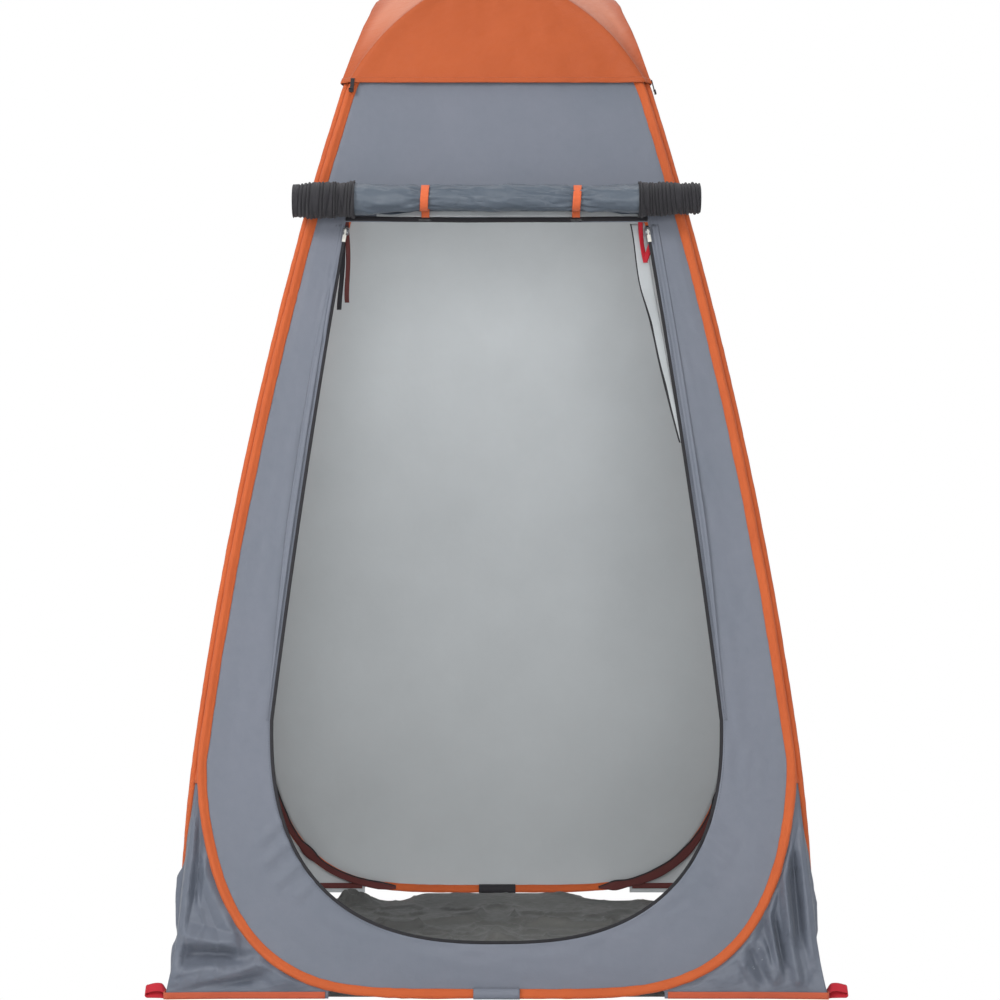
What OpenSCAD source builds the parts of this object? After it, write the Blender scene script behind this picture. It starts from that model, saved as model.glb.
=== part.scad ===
// A pop-up privacy shelter with one room. Four bowed cloth walls hang in four
// closed spring-wire hoops that stand side by side along the corner seams.
// A rain cap hooks over the four arches, the front door is rolled up over its
// doorway, and a loose floor lies inside.
// Origin: centre of the base, on the ground. +Z is up and the door faces -Y.

/* [Walls] */
// Width across the walls at the ground
foot_w = 1216; // [1150:1:1280]
// Width across the walls at the tops of the arches
top_w = 468; // [430:1:510]
// Height of the arch tops
arch_h = 1965; // [1900:1:2040]
// How far each wall bows out from a straight line
wall_bow = 58; // [45:1:70]
// Thickness of the wall cloth with its seams
cloth_t = 2; // [1.5:0.1:2.5]

/* [Hoops] */
// Diameter of the spring wire
wire_d = 4; // [3:0.1:4.6]
// Wall thickness of the ferrule that joins a wire's two ends
ferrule_t = 1.4; // [1:0.1:1.8]
// Length of the ferrule
ferrule_l = 50; // [30:1:70]
// Outside diameter of the cloth sleeve round each wire
sleeve_d = 18; // [15:0.1:20]
// Height at which a hoop's lower curve ends at the corner seam
low_h = 445; // [420:1:480]
// Rise of the arch above the top of the corner seams
arch_rise = 245; // [225:1:275]
// Power of the lower curve in height
low_height_power = 1.386; // [1.3:0.01:1.5]
// Power of the lower curve in width
low_width_power = 4.681; // [4.2:0.01:5]

/* [Bottom corners] */
// Height of the corner gussets
gusset_h = 400; // [360:1:410]
// Distance from the middle at which each gusset starts
gusset_start = 340; // [335:1:380]
// Height of the hem tape on the ground
hem_h = 14; // [10:0.5:18]
// Thickness of the hem tape
hem_t = 2; // [1.5:0.1:2.5]
// Reach of a peg loop past the hem
peg_reach = 42; // [30:1:60]
// Width of the peg loop's webbing
peg_w = 20; // [15:1:25]
// Height of the folded peg loop
peg_h = 12; // [10:0.5:16]
// Thickness of the webbing
webbing_t = 2; // [1.5:0.1:2.2]

/* [Doorway] */
// Width of the doorway at its head
door_top_w = 590; // [560:1:620]
// Greatest width of the doorway
door_w = 850; // [820:1:880]
// Height of the doorway's widest level
door_wide_h = 512; // [480:1:540]
// Height of the sill in the middle
sill_h = 100; // [90:1:130]
// Height of the doorway's head
head_h = 1469; // [1450:1:1475]
// How far each jamb bows out
jamb_bow = 5; // [0:0.5:8]
// Power of the sill curve in height
sill_height_power = 2.5; // [2.2:0.05:2.7]
// Power of the sill curve in width
sill_width_power = 2.6; // [2.4:0.05:2.8]

/* [Zip] */
// Width of the closed zip's tape and teeth
zip_w = 6; // [5:0.1:7]
// Thickness of the teeth
zip_t = 3; // [2.4:0.1:3.4]
// Height of the tape along the doorway's head
head_tape_h = 9; // [7:0.5:12]
// Length of a slider
slider_l = 14; // [11:0.5:17]
// Width of a slider
slider_w = 11; // [10:0.5:13]
// Distance of the parked sliders below the doorway's head
slider_below_head = 19; // [17:1:29]
// Length of a pull
pull_l = 24; // [16:1:30]
// Width of the facing strip beside each jamb
facing_w = 14; // [10:1:18]

/* [Door roll] */
// Diameter of the rolled cloth
roll_d = 66; // [56:1:70]
// Diameter of the rolled zip tape at both ends
roll_end_d = 74; // [71:1:78]
// Length of the rolled cloth
roll_l = 560; // [500:1:600]
// Length of each rolled end
roll_end_l = 116; // [90:1:130]
// Height of the roll's axis
roll_h = 1507; // [1500:1:1530]
// Distance of the left tie from the middle
tie_left_x = 139; // [110:1:170]
// Distance of the right tie from the middle
tie_right_x = 155; // [120:1:180]
// Width of the ties' webbing
tie_w = 17; // [12:1:22]

/* [Roof] */
// Height of the rain cap's hem above the arch's start
cap_hem_rise = 34; // [25:1:55]
// Rise of the cap's middle above its edges
cap_crown = 23.4; // [10:0.2:35]
// Thickness of the cap's cloth
cap_t = 2; // [1.5:0.1:2.5]
// Rise of the roof panel's middle
roof_crown = 8; // [4:1:14]
// Length of a cap hook
hook_l = 26; // [18:1:34]

/* [Floor and small parts] */
// Thickness of the floor sheet
floor_t = 2; // [1.5:0.1:3]
// Distance of the floor's back edge from the middle
floor_back = 515; // [440:1:580]
// Length of the joint covers on the hoops
cover_l = 86; // [60:1:110]
// Thickness of the joint covers
cover_t = 2; // [1.5:0.1:2.5]
// Length of the hanging ribbons
ribbon_l = 182; // [120:1:200]
// Width of the hanging ribbons
ribbon_w = 10; // [7:0.5:12]

/* [Clearances] */
// Between cloth pieces that lie side by side
cloth_gap = 0.5; // [0.3:0.05:0.6]
// Between a moving slider and the zip
slider_gap = 0.8; // [0.7:0.05:0.9]
// Between the rolled ends and the sleeves
roll_gap = 8; // [6:0.5:12]
// Between the cap and the sleeves
cap_gap = 0.6; // [0.5:0.05:0.9]
// Radial clearance of the small bores
bore_gap = 0.1; // [0.05:0.01:0.15]

/* [Hidden] */

wire_sides = 6;
sleeve_sides = 8;
bore_sides = 6;
low_steps = 9;
side_steps = 5;
arch_steps = 6;
smooth = 64;
wall_steps = 14;

// Heights that follow the hoops and the doorway
arch_start_h = arch_h - arch_rise;
cap_hem_h = arch_start_h + cap_hem_rise;
slider_h = head_h - slider_below_head;

sleeve_r = sleeve_d / 2;
edge_gap = sleeve_r + cloth_gap;
ferrule_bore_r = wire_d / 2 + bore_gap;
ferrule_r = ferrule_bore_r + ferrule_t;
sleeve_bore_r = (ferrule_r + 2 * bore_gap) / cos(180 / bore_sides);
// Two sleeves stand side by side along each corner seam
seam_inset = (sleeve_d + cloth_gap) / sqrt(2);
hoop_base_h = sleeve_r;

// Every wall is an arc of one large circle, from its foot to its arch top
foot_s = foot_w / 2;
top_s = top_w / 2;
wall_chord = sqrt(pow(foot_s - top_s, 2) + pow(arch_h, 2));
wall_r = pow(wall_chord, 2) / (8 * wall_bow) + wall_bow / 2;
wall_centre_s = (foot_s + top_s) / 2 - (wall_r - wall_bow) * arch_h / wall_chord;
wall_centre_z = arch_h / 2 - (wall_r - wall_bow) * (foot_s - top_s) / wall_chord;
function wall_s(z) = wall_centre_s + sqrt(pow(wall_r, 2) - pow(z - wall_centre_z, 2));
function wall_out(z) = [0, wall_centre_s - wall_s(z), z - wall_centre_z] / wall_r;
function on_wall(p) = [p[0], -wall_s(p[1]), p[1]];
function unit(v) = v / norm(v);

// A quarter curve from the middle of the base to its side, t from 0 to 90
function quarter_width(t, power) = pow(sin(t), 2 / power);
function quarter_height(t, power) = 1 - pow(cos(t), 2 / power);
function spread_angle(i, steps) = 90 * pow(i / steps, 2);

// A hoop's centreline as [x, z] on its wall
function low_point(i) =
    let (t = spread_angle(i, low_steps))
    let (z = hoop_base_h + (low_h - hoop_base_h) * quarter_height(t, low_height_power))
    [(wall_s(z) - seam_inset) * quarter_width(t, low_width_power), z];
function side_point(i) =
    let (z = low_h + (arch_start_h - low_h) * i / side_steps)
    [wall_s(z) - seam_inset, z];
function arch_point(i) =
    let (t = 90 * i / arch_steps, z = arch_start_h + (arch_h - arch_start_h) * sin(t))
    [(wall_s(z) - seam_inset) * cos(t), z];
hoop_half = [
    [0, hoop_base_h],
    [ferrule_l / 2 + wire_d, hoop_base_h],
    for (i = [1:low_steps]) low_point(i),
    for (i = [1:side_steps - 1]) side_point(i),
    for (i = [0:arch_steps]) arch_point(i)
];
function mirrored(half) = [for (i = [len(half) - 2:-1:1]) [-half[i][0], half[i][1]]];
hoop_loop = concat(hoop_half, mirrored(hoop_half));
// The wire is cut in the middle of its ferrule
wire_line = concat(
    [[wire_d / 4, hoop_base_h]],
    [for (i = [1:len(hoop_loop) - 1]) hoop_loop[i]],
    [[-wire_d / 4, hoop_base_h]]
);

// The doorway's outline as [x, z] on the front wall
door_wide_s = door_w / 2;
door_top_s = door_top_w / 2;
function jamb_x(z) =
    let (share = (z - door_wide_h) / (head_h - door_wide_h))
    door_wide_s + (door_top_s - door_wide_s) * share + 4 * jamb_bow * share * (1 - share);
sill_steps = 9;
jamb_steps = 4;
function sill_point(i) =
    let (t = spread_angle(i, sill_steps))
    [door_wide_s * quarter_width(t, sill_width_power),
     sill_h + (door_wide_h - sill_h) * quarter_height(t, sill_height_power)];
function jamb_point(i) =
    let (z = door_wide_h + (head_h - door_wide_h) * i / jamb_steps)
    [jamb_x(z), z];
door_half = [
    for (i = [0:sill_steps]) sill_point(i),
    for (i = [1:jamb_steps]) jamb_point(i),
    [0, head_h]
];
door_loop = concat(door_half, mirrored(door_half));

// A closed outline moved outwards by g
function moved_out(line, g) = [
    for (i = [0:len(line) - 1])
        let (n = len(line), along = unit(line[(i + 1) % n] - line[(i + n - 1) % n]))
        line[i] + g * [along[1], -along[0]]
];

// The slanted frame of a point on the front wall: +Z along the wall, -Y outwards
module at_wall(x, z, turn = 0) {
    translate([x, -wall_s(z), z])
        rotate([-asin((z - wall_centre_z) / wall_r), 0, 0])
            rotate([0, turn, 0])
                children();
}

// A curved sheet on the front wall, between two distances from its middle surface
function wall_arc(grow, first, last, steps) = [
    for (i = [0:steps])
        let (a = first + (last - first) * i / steps)
        [-wall_centre_s - (wall_r + grow) * cos(a), wall_centre_z + (wall_r + grow) * sin(a)]
];
module wall_sheet(from, to) {
    foot_angle = asin(-wall_centre_z / wall_r);
    top_angle = asin((arch_h - wall_centre_z) / wall_r);
    step = (top_angle - foot_angle) / wall_steps;
    inner = wall_arc(from, top_angle + step, foot_angle - step, wall_steps + 2);
    outer = wall_arc(to, foot_angle - step, top_angle + step, wall_steps + 2);
    rotate([90, 0, 90])
        linear_extrude(2 * foot_w, center = true)
            polygon(concat(outer, inner));
}

module prism(outline) {
    translate([0, -top_s / 2, 0])
        rotate([90, 0, 0])
            linear_extrude(foot_w)
                polygon(outline);
}

module patch(outline, from = -cloth_t / 2, to = cloth_t / 2) {
    intersection() {
        wall_sheet(from, to);
        prism(outline);
    }
}

module swept(line, r, sides, closed) {
    n = len(line);
    points = [
        for (i = [0:n - 1])
            let (before = closed ? (i + n - 1) % n : max(i - 1, 0))
            let (after = closed ? (i + 1) % n : min(i + 1, n - 1))
            let (along = unit(on_wall(line[after]) - on_wall(line[before])))
            let (out = wall_out(line[i][1]), across = cross(along, out))
            for (k = [0:sides - 1])
                let (a = 360 * k / sides)
                on_wall(line[i]) + r * (cos(a) * out + sin(a) * across)
    ];
    rings = closed ? n : n - 1;
    skin = [
        for (i = [0:rings - 1], k = [0:sides - 1])
            let (next = (i + 1) % n, turn = (k + 1) % sides)
            [i * sides + k, next * sides + k, next * sides + turn, i * sides + turn]
    ];
    first = [for (k = [0:sides - 1]) k];
    last = [for (k = [sides - 1:-1:0]) (n - 1) * sides + k];
    polyhedron(points, closed ? skin : concat(skin, [first, last]));
}

// The four sides are turned copies of the front
function side_turn(side) =
    side == "front" ? 0 : side == "right" ? 90 : side == "back" ? 180 : 270;
module on_side(side) {
    rotate([0, 0, side_turn(side)])
        children();
}

module hoop_wire(side) {
    color("gray")
        on_side(side)
            swept(wire_line, wire_d / 2, wire_sides, false);
}

module hoop_ferrules() {
    color("silver")
        for (side = ["front", "right", "back", "left"])
            on_side(side)
                translate([0, -wall_s(hoop_base_h), hoop_base_h])
                    rotate([0, 90, 0])
                        difference() {
                            cylinder(r = ferrule_r, h = ferrule_l, center = true, $fn = smooth);
                            cylinder(r = ferrule_bore_r, h = ferrule_l + 2, center = true, $fn = smooth);
                        }
}

module hoop_sleeve(side) {
    color("darkorange")
        on_side(side)
            difference() {
                swept(hoop_loop, sleeve_r, sleeve_sides, true);
                swept(hoop_loop, sleeve_bore_r, bore_sides, true);
            }
}

module whole_wall(side) {
    color("lightgray")
        on_side(side)
            patch(moved_out(hoop_loop, -edge_gap));
}

module front_wall() {
    color("lightslategray")
        difference() {
            patch(moved_out(hoop_loop, -edge_gap));
            prism(door_loop);
        }
}

// One wall's share of a gusset or hem, right of the middle, up to the corner
corner_steps = 5;
function corner_outline(start, height, grow) = [
    [start, 0],
    for (i = [0:corner_steps])
        let (z = height * i / corner_steps)
        [wall_s(z) + grow, z],
    [start, height]
];

module corner_half(start, height, from, to) {
    difference() {
        patch(corner_outline(start, height, to), from, to);
        prism(moved_out(hoop_loop, edge_gap));
    }
}

// Both halves meet at the corner right of the given side
module corner_piece(side, start, height, from, to) {
    on_side(side) {
        corner_half(start, height, from, to);
        rotate([0, 0, 90])
            mirror([1, 0, 0])
                corner_half(start, height, from, to);
    }
}

module gusset(side) {
    color("slategray")
        corner_piece(side, gusset_start, gusset_h, -cloth_t / 2, cloth_t / 2);
}

hem_in = cloth_t / 2 + cloth_gap;
module ground_hem(side) {
    color("orangered")
        corner_piece(side, gusset_start + hem_h, hem_h, hem_in, hem_in + hem_t);
}

// A folded webbing loop that lies on the ground and points away from the corner
module peg_loop(x_side, y_side) {
    start_x = foot_s + hem_in + hem_t + cloth_gap;
    bend_r = peg_h / 2;
    color("crimson")
        translate([0, y_side * (foot_s - peg_w / 2 - hem_t), bend_r])
            rotate([90, 0, 0])
                mirror([x_side < 0 ? 1 : 0, 0, 0])
                    linear_extrude(peg_w, center = true)
                        difference() {
                            peg_shape(start_x, bend_r);
                            peg_shape(start_x + webbing_t, bend_r - webbing_t);
                        }
}

module peg_shape(start_x, r) {
    bend_x = foot_s + hem_in + hem_t + peg_reach - peg_h / 2;
    translate([bend_x, 0])
        circle(r = r, $fn = smooth);
    translate([start_x, -r])
        square([bend_x - start_x, 2 * r]);
}

// Two facings, outside and inside, over the sleeve where the wire's ends meet
module joint_cover(side) {
    cover_r = edge_gap + cover_t;
    color(side == "front" ? "gray" : "black")
        on_side(side)
            translate([0, -wall_s(hoop_base_h), hoop_base_h])
                rotate([90, 0, 90])
                    linear_extrude(cover_l, center = true)
                        difference() {
                            union() {
                                circle(r = cover_r, $fn = smooth);
                                translate([-cover_r, -hoop_base_h])
                                    square([2 * cover_r, hoop_base_h]);
                            }
                            circle(r = edge_gap, $fn = smooth);
                            translate([-edge_gap, -2 * hoop_base_h])
                                square([2 * edge_gap, 2 * hoop_base_h]);
                            translate([-2 * cover_r, -3 * hoop_base_h])
                                square([4 * cover_r, 2 * hoop_base_h]);
                            translate([-hem_in - cloth_gap, 0])
                                square([2 * (hem_in + cloth_gap), 2 * cover_r]);
                        }
}

// A closed eight-sided dome over the arches, grown by g, from height low
function dome_angle(low, g) = asin((low - arch_start_h) / (arch_h + g - arch_start_h));
function dome_ring(t, g) =
    let (z = arch_start_h + (arch_h + g - arch_start_h) * sin(t), w = wall_s(z) + g)
    let (a = (wall_s(z) - seam_inset + g) * cos(t))
    [[a, -w, z], [w, -a, z], [w, a, z], [a, w, z], [-a, w, z], [-w, a, z], [-w, -a, z], [-a, -w, z]];
module dome(low, g, crown) {
    start = dome_angle(low, g);
    angles = [
        start,
        for (i = [1:arch_steps - 1])
            let (t = 90 * i / arch_steps)
            if (t > start + 1) t,
        87
    ];
    points = [
        for (t = angles) each dome_ring(t, g),
        [0, 0, arch_h + g + crown],
        [0, 0, low]
    ];
    last = len(angles) - 1;
    apex = 8 * len(angles);
    polyhedron(points, [
        for (i = [0:last - 1], k = [0:7])
            [8 * i + k, 8 * i + 8 + k, 8 * i + 8 + (k + 1) % 8, 8 * i + (k + 1) % 8],
        for (k = [0:7])
            [8 * last + k, apex, 8 * last + (k + 1) % 8],
        for (k = [0:7])
            [k, (k + 1) % 8, apex + 1]
    ]);
}

cap_in = sleeve_r + cap_gap;
module rain_cap() {
    color("coral")
        difference() {
            dome(cap_hem_h, cap_in + cap_t, cap_crown);
            dome(cap_hem_h - 4, cap_in, cap_crown);
        }
}

// The roof panel fills the corners between the arches and the square over them
module roof_panel() {
    color("dimgray")
        difference() {
            dome(arch_start_h + cloth_t, cloth_t / 2, roof_crown);
            dome(arch_start_h, -cloth_t / 2, roof_crown);
            for (side = ["front", "right", "back", "left"])
                on_side(side)
                    translate([0, top_s / 2 - top_s + edge_gap, 0])
                        prism(moved_out(hoop_loop, edge_gap / sqrt(2) + cloth_gap / 2));
        }
}

hook_w = 8;
module cap_hooks() {
    hook_x = wall_s(cap_hem_h) - seam_inset;
    top = cap_hem_h - cloth_gap;
    color("black")
        for (side = ["front", "right", "back", "left"])
            on_side(side)
                patch(
                    [[-hook_x - hook_w / 2, top - hook_l], [-hook_x + hook_w / 2, top - hook_l],
                     [-hook_x + hook_w / 2, top], [-hook_x - hook_w / 2, top]],
                    cap_in, cap_in + cap_t
                );
}

module floor_sheet() {
    floor_s = wall_s(hoop_base_h) - edge_gap - cover_t - cloth_gap;
    color("dimgray")
        translate([-floor_s, -floor_s, 0])
            cube([2 * floor_s, floor_s + floor_back, floor_t]);
}

// The teeth follow the doorway's edge from one slider round the sill to the other
module doorway_zip() {
    top = head_h - zip_w - 2 * cloth_gap;
    color("black")
        difference() {
            patch(moved_out(door_loop, -cloth_gap), -zip_t / 2, zip_t / 2);
            prism(moved_out(door_loop, -cloth_gap - zip_w));
            prism([[-door_w, top], [door_w, top], [door_w, arch_h], [-door_w, arch_h]]);
        }
}

module head_tape() {
    color("black")
        patch(
            [[-door_top_s, head_h], [door_top_s, head_h],
             [door_top_s, head_h + head_tape_h], [-door_top_s, head_h + head_tape_h]],
            hem_in, hem_in + hem_t
        );
}

// A narrow strip of doubled cloth beside the jamb
module jamb_facing(x_side) {
    near = slider_w / 2;
    far = near + facing_w;
    top = head_h - zip_w;
    color("gray")
        mirror([x_side < 0 ? 1 : 0, 0, 0])
            patch(
                [for (i = [0:jamb_steps])
                    let (z = door_wide_h + (top - door_wide_h) * i / jamb_steps)
                    [jamb_x(z) + near, z],
                 for (i = [jamb_steps:-1:0])
                    let (z = door_wide_h + (top - door_wide_h) * i / jamb_steps)
                    [jamb_x(z) + far, z]],
                hem_in, hem_in + cloth_t
            );
}

// Sliders and pulls are drawn about the zip's middle line
slider_x = jamb_x(slider_h) - cloth_gap - zip_w / 2;
jamb_turn = atan((jamb_x(slider_h) - jamb_x(slider_h - 50)) / 50);
slider_plate_t = 2;
slider_in = zip_t / 2 + slider_gap;
pin_r = 1;
pull_t = 1.4;
pull_w = 7;
ear_t = 1.5;
eye_r = 2.4;
pin_out = slider_in + slider_plate_t + eye_r + cloth_gap;

module at_slider(x_side) {
    mirror([x_side < 0 ? 1 : 0, 0, 0])
        at_wall(slider_x, slider_h, jamb_turn)
            children();
}

module slider(x_side) {
    neck_x = -zip_w / 2 - slider_gap - slider_plate_t;
    sunk = 0.1;
    color("silver")
        at_slider(x_side) {
            for (side = [-1, 1])
                translate([0, side * (slider_in + slider_plate_t / 2), 0])
                    cube([slider_w, slider_plate_t, slider_l], center = true);
            translate([neck_x, -slider_in - sunk, -slider_l / 2])
                cube([slider_plate_t, 2 * (slider_in + sunk), slider_l]);
            translate([0, -pin_out, 0])
                rotate([0, 90, 0])
                    cylinder(r = pin_r, h = pull_w, center = true, $fn = smooth);
            for (side = [-1, 1])
                translate([side * (pull_w - ear_t) / 2 - ear_t / 2, -pin_out - pin_r, -2 * pin_r])
                    cube([ear_t, pin_out + pin_r - slider_in - slider_plate_t + sunk, 4 * pin_r]);
        }
}

// The pull lies flat against the zip below its pin
module pull(x_side) {
    eye_w = pull_w - 2 * ear_t - 2 * cloth_gap;
    color("whitesmoke")
        at_slider(x_side)
            translate([0, -pin_out, 0])
                difference() {
                    union() {
                        rotate([0, 90, 0])
                            cylinder(r = eye_r, h = eye_w, center = true, $fn = smooth);
                        translate([-eye_w / 2, -pull_t / 2, -pull_l])
                            cube([eye_w, pull_t, pull_l]);
                        translate([-pull_w / 2, -pull_t / 2, -pull_l])
                            cube([pull_w, pull_t, pull_l - 4 * eye_r]);
                    }
                    rotate([0, 90, 0])
                        cylinder(r = pin_r + bore_gap, h = pull_w, center = true, $fn = smooth);
                }
}

// The roll keeps this distance from the wall's middle surface as it travels
roll_r = roll_d / 2;
roll_end_r = roll_end_d / 2;
roll_out = sleeve_r + roll_gap + roll_end_r;
roll_y = -wall_centre_s - sqrt(pow(wall_r + roll_out, 2) - pow(roll_h - wall_centre_z, 2));

module at_roll() {
    translate([0, roll_y, roll_h])
        rotate([0, 90, 0])
            children();
}

module door_roll() {
    rounding = 5;
    color("slategray")
        at_roll()
            rotate_extrude($fn = smooth)
                polygon([
                    [0, -roll_l / 2], [roll_r - rounding, -roll_l / 2], [roll_r, -roll_l / 2 + rounding],
                    [roll_r, roll_l / 2 - rounding], [roll_r - rounding, roll_l / 2], [0, roll_l / 2]
                ]);
}

// Turns of zip tape stand out as ribs on each end of the roll
rib_count = 9;
module roll_end(x_side) {
    rib = roll_end_l / rib_count;
    groove = 2;
    color("black")
        at_roll()
            mirror([0, 0, x_side < 0 ? 1 : 0])
                translate([0, 0, roll_l / 2])
                    rotate_extrude($fn = smooth)
                        polygon([
                            [0, 0],
                            for (i = [0:rib_count - 1])
                                each [
                                    [roll_end_r - groove, i * rib],
                                    [roll_end_r, (i + 0.3) * rib],
                                    [roll_end_r, (i + 0.7) * rib]
                                ],
                            [roll_end_r - groove, roll_end_l],
                            [0, roll_end_l]
                        ]);
}

// A tie goes round the roll and back to the wall behind it
tie_in = roll_r + cloth_gap;
module tie(x) {
    reach = roll_out - hem_in - tie_in;
    color("orange")
        translate([x, 0, 0])
            at_roll()
                linear_extrude(tie_w, center = true) {
                    difference() {
                        circle(r = tie_in + webbing_t, $fn = smooth);
                        circle(r = tie_in, $fn = smooth);
                    }
                    rotate(-asin((roll_h - wall_centre_z) / (wall_r + roll_out)))
                        translate([-webbing_t / 2, tie_in + webbing_t / 2])
                            square([webbing_t, reach - webbing_t / 2]);
                }
}

// The toggle hangs under the tie
toggle_w = 12;
toggle_h = 16;
toggle_t = 4;
module toggle(x) {
    color("black")
        translate([
            x - toggle_w / 2,
            roll_y - toggle_t / 2,
            roll_h - tie_in - webbing_t - cloth_gap - toggle_h
        ])
            cube([toggle_w, toggle_t, toggle_h]);
}

// Ribbons hang plumb inside the doorway, from the wall over its head
ribbon_top = head_h + head_tape_h;
ribbon_t = 1.5;
ribbon_y = -wall_s(ribbon_top) + hem_in;
module ribbon(x, length) {
    translate([x - ribbon_w / 2, ribbon_y, ribbon_top - length])
        cube([ribbon_w, ribbon_t, length]);
}

ribbon_x = door_top_s + ribbon_w / 2 + cloth_gap;
module ribbon_black() {
    color("black")
        ribbon(-ribbon_x, ribbon_l);
}

module ribbon_red() {
    color("darkred")
        ribbon(-ribbon_x + ribbon_w + cloth_gap, ribbon_l * 0.9);
}

module ribbon_loop() {
    color("crimson")
        ribbon(ribbon_x - ribbon_w / 4, ribbon_l / 2);
}

hoop_wire("front");  // front_hoop_wire
hoop_wire("back");  // back_hoop_wire
hoop_wire("left");  // left_hoop_wire
hoop_wire("right");  // right_hoop_wire
hoop_ferrules();
hoop_sleeve("front");  // front_hoop_sleeve
hoop_sleeve("back");  // back_hoop_sleeve
hoop_sleeve("left");  // left_hoop_sleeve
hoop_sleeve("right");  // right_hoop_sleeve
front_wall();
whole_wall("back");  // back_wall
whole_wall("left");  // left_wall
whole_wall("right");  // right_wall
gusset("left");  // gusset_front_left
gusset("front");  // gusset_front_right
gusset("back");  // gusset_back_left
gusset("right");  // gusset_back_right
ground_hem("left");  // hem_front_left
ground_hem("front");  // hem_front_right
ground_hem("back");  // hem_back_left
ground_hem("right");  // hem_back_right
peg_loop(-1, -1);  // peg_loop_front_left
peg_loop(1, -1);  // peg_loop_front_right
peg_loop(-1, 1);  // peg_loop_back_left
peg_loop(1, 1);  // peg_loop_back_right
joint_cover("front");  // front_joint_cover
joint_cover("back");  // back_joint_cover
joint_cover("left");  // left_joint_cover
joint_cover("right");  // right_joint_cover
roof_panel();
rain_cap();
cap_hooks();
floor_sheet();
doorway_zip();
head_tape();
jamb_facing(-1);  // jamb_facing_left
jamb_facing(1);  // jamb_facing_right
slider(-1);  // slider_left
slider(1);  // slider_right
pull(-1);  // pull_left
pull(1);  // pull_right
door_roll();
roll_end(-1);  // roll_end_left
roll_end(1);  // roll_end_right
tie(-tie_left_x);  // tie_left
tie(tie_right_x);  // tie_right
toggle(-tie_left_x);  // toggle_left
toggle(tie_right_x);  // toggle_right
ribbon_black();
ribbon_red();
ribbon_loop();
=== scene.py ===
import math
import bpy
import numpy as np
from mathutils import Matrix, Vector


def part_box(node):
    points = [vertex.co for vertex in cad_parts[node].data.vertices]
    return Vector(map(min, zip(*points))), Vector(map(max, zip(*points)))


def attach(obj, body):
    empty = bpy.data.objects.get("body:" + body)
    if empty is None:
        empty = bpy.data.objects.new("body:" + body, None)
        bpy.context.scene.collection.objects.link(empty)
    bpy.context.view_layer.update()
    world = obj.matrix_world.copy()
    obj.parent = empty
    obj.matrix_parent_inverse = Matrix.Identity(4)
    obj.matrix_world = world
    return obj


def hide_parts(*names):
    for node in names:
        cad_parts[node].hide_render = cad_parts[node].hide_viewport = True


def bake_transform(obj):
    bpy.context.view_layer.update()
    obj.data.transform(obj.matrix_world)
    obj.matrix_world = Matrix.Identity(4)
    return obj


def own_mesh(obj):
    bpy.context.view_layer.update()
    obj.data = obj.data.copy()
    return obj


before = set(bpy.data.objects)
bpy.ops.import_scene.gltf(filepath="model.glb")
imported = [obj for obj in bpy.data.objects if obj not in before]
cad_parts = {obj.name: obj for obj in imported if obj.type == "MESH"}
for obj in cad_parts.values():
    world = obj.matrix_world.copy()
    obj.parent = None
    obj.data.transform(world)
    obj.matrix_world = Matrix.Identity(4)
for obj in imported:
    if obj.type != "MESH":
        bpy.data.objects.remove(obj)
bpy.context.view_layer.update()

# ---------------------------------------------------------------- sizes, in metres

FOOT_S = 0.608
TOP_S = 0.234
ARCH_H = 1.965
WALL_BOW = 0.058
SLEEVE_R = 0.009
SEAM_INSET = 0.0131
LOW_H = 0.445
ARCH_START_H = 1.720
LOW_HEIGHT_POWER = 1.386
LOW_WIDTH_POWER = 4.681

DOOR_TOP_S = 0.295
DOOR_WIDE_S = 0.425
DOOR_WIDE_H = 0.512
SILL_H = 0.100
HEAD_H = 1.469
JAMB_BOW = 0.005
SILL_HEIGHT_POWER = 2.5
SILL_WIDTH_POWER = 2.6

CAP_HEM_H = 1.754
CAP_OUT = 0.0112
CAP_CROWN = 0.0205
CLOTH_T = 0.0006

ROLL_H = 1.507
ROLL_OUT = 0.054
ROLL_R = 0.0325
ROLL_HALF = 0.280
ROLL_END_L = 0.114

WALL_INSET = 0.0052
SEAM_OUT = 0.0016
SEAM_IN = 0.0072
SEAM_TAPE_HALF = 0.0058
HEM_HALF = 0.0064
TAPE_T = 0.0012
ROLL_CLOTH_T = 0.0008
TIE_HALF = 0.0078
LOOP_HALF = 0.0092
RIBBON_HALF = 0.0046
THREAD_W = 0.0008
THREAD_H = 0.0007
JOINT_HALF = 0.043
TIE_X = (-0.139, 0.155)

SIDES = ["front", "right", "back", "left"]


# ---------------------------------------------------------------- camera

def make_camera():
    """Eye height at mid-doorway, five metres in front, level."""
    data = bpy.data.cameras.new("camera")
    data.lens = 87.1
    data.sensor_width = 36.0
    data.clip_end = 100.0
    camera = bpy.data.objects.new("camera", data)
    camera.location = (0.0065, -5.1, 0.926)
    camera.rotation_euler = (math.radians(90), 0, 0)
    bpy.context.scene.collection.objects.link(camera)
    bpy.context.scene.camera = camera


make_camera()


# ---------------------------------------------------------------- wall curves

CHORD = math.hypot(FOOT_S - TOP_S, ARCH_H)
WALL_R = CHORD ** 2 / (8 * WALL_BOW) + WALL_BOW / 2
CENTRE_S = (FOOT_S + TOP_S) / 2 - (WALL_R - WALL_BOW) * ARCH_H / CHORD
CENTRE_Z = ARCH_H / 2 - (WALL_R - WALL_BOW) * (FOOT_S - TOP_S) / CHORD


def wall_s(z):
    """Distance of a wall from the middle at height z."""
    return CENTRE_S + np.sqrt(WALL_R ** 2 - (np.asarray(z) - CENTRE_Z) ** 2)


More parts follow.
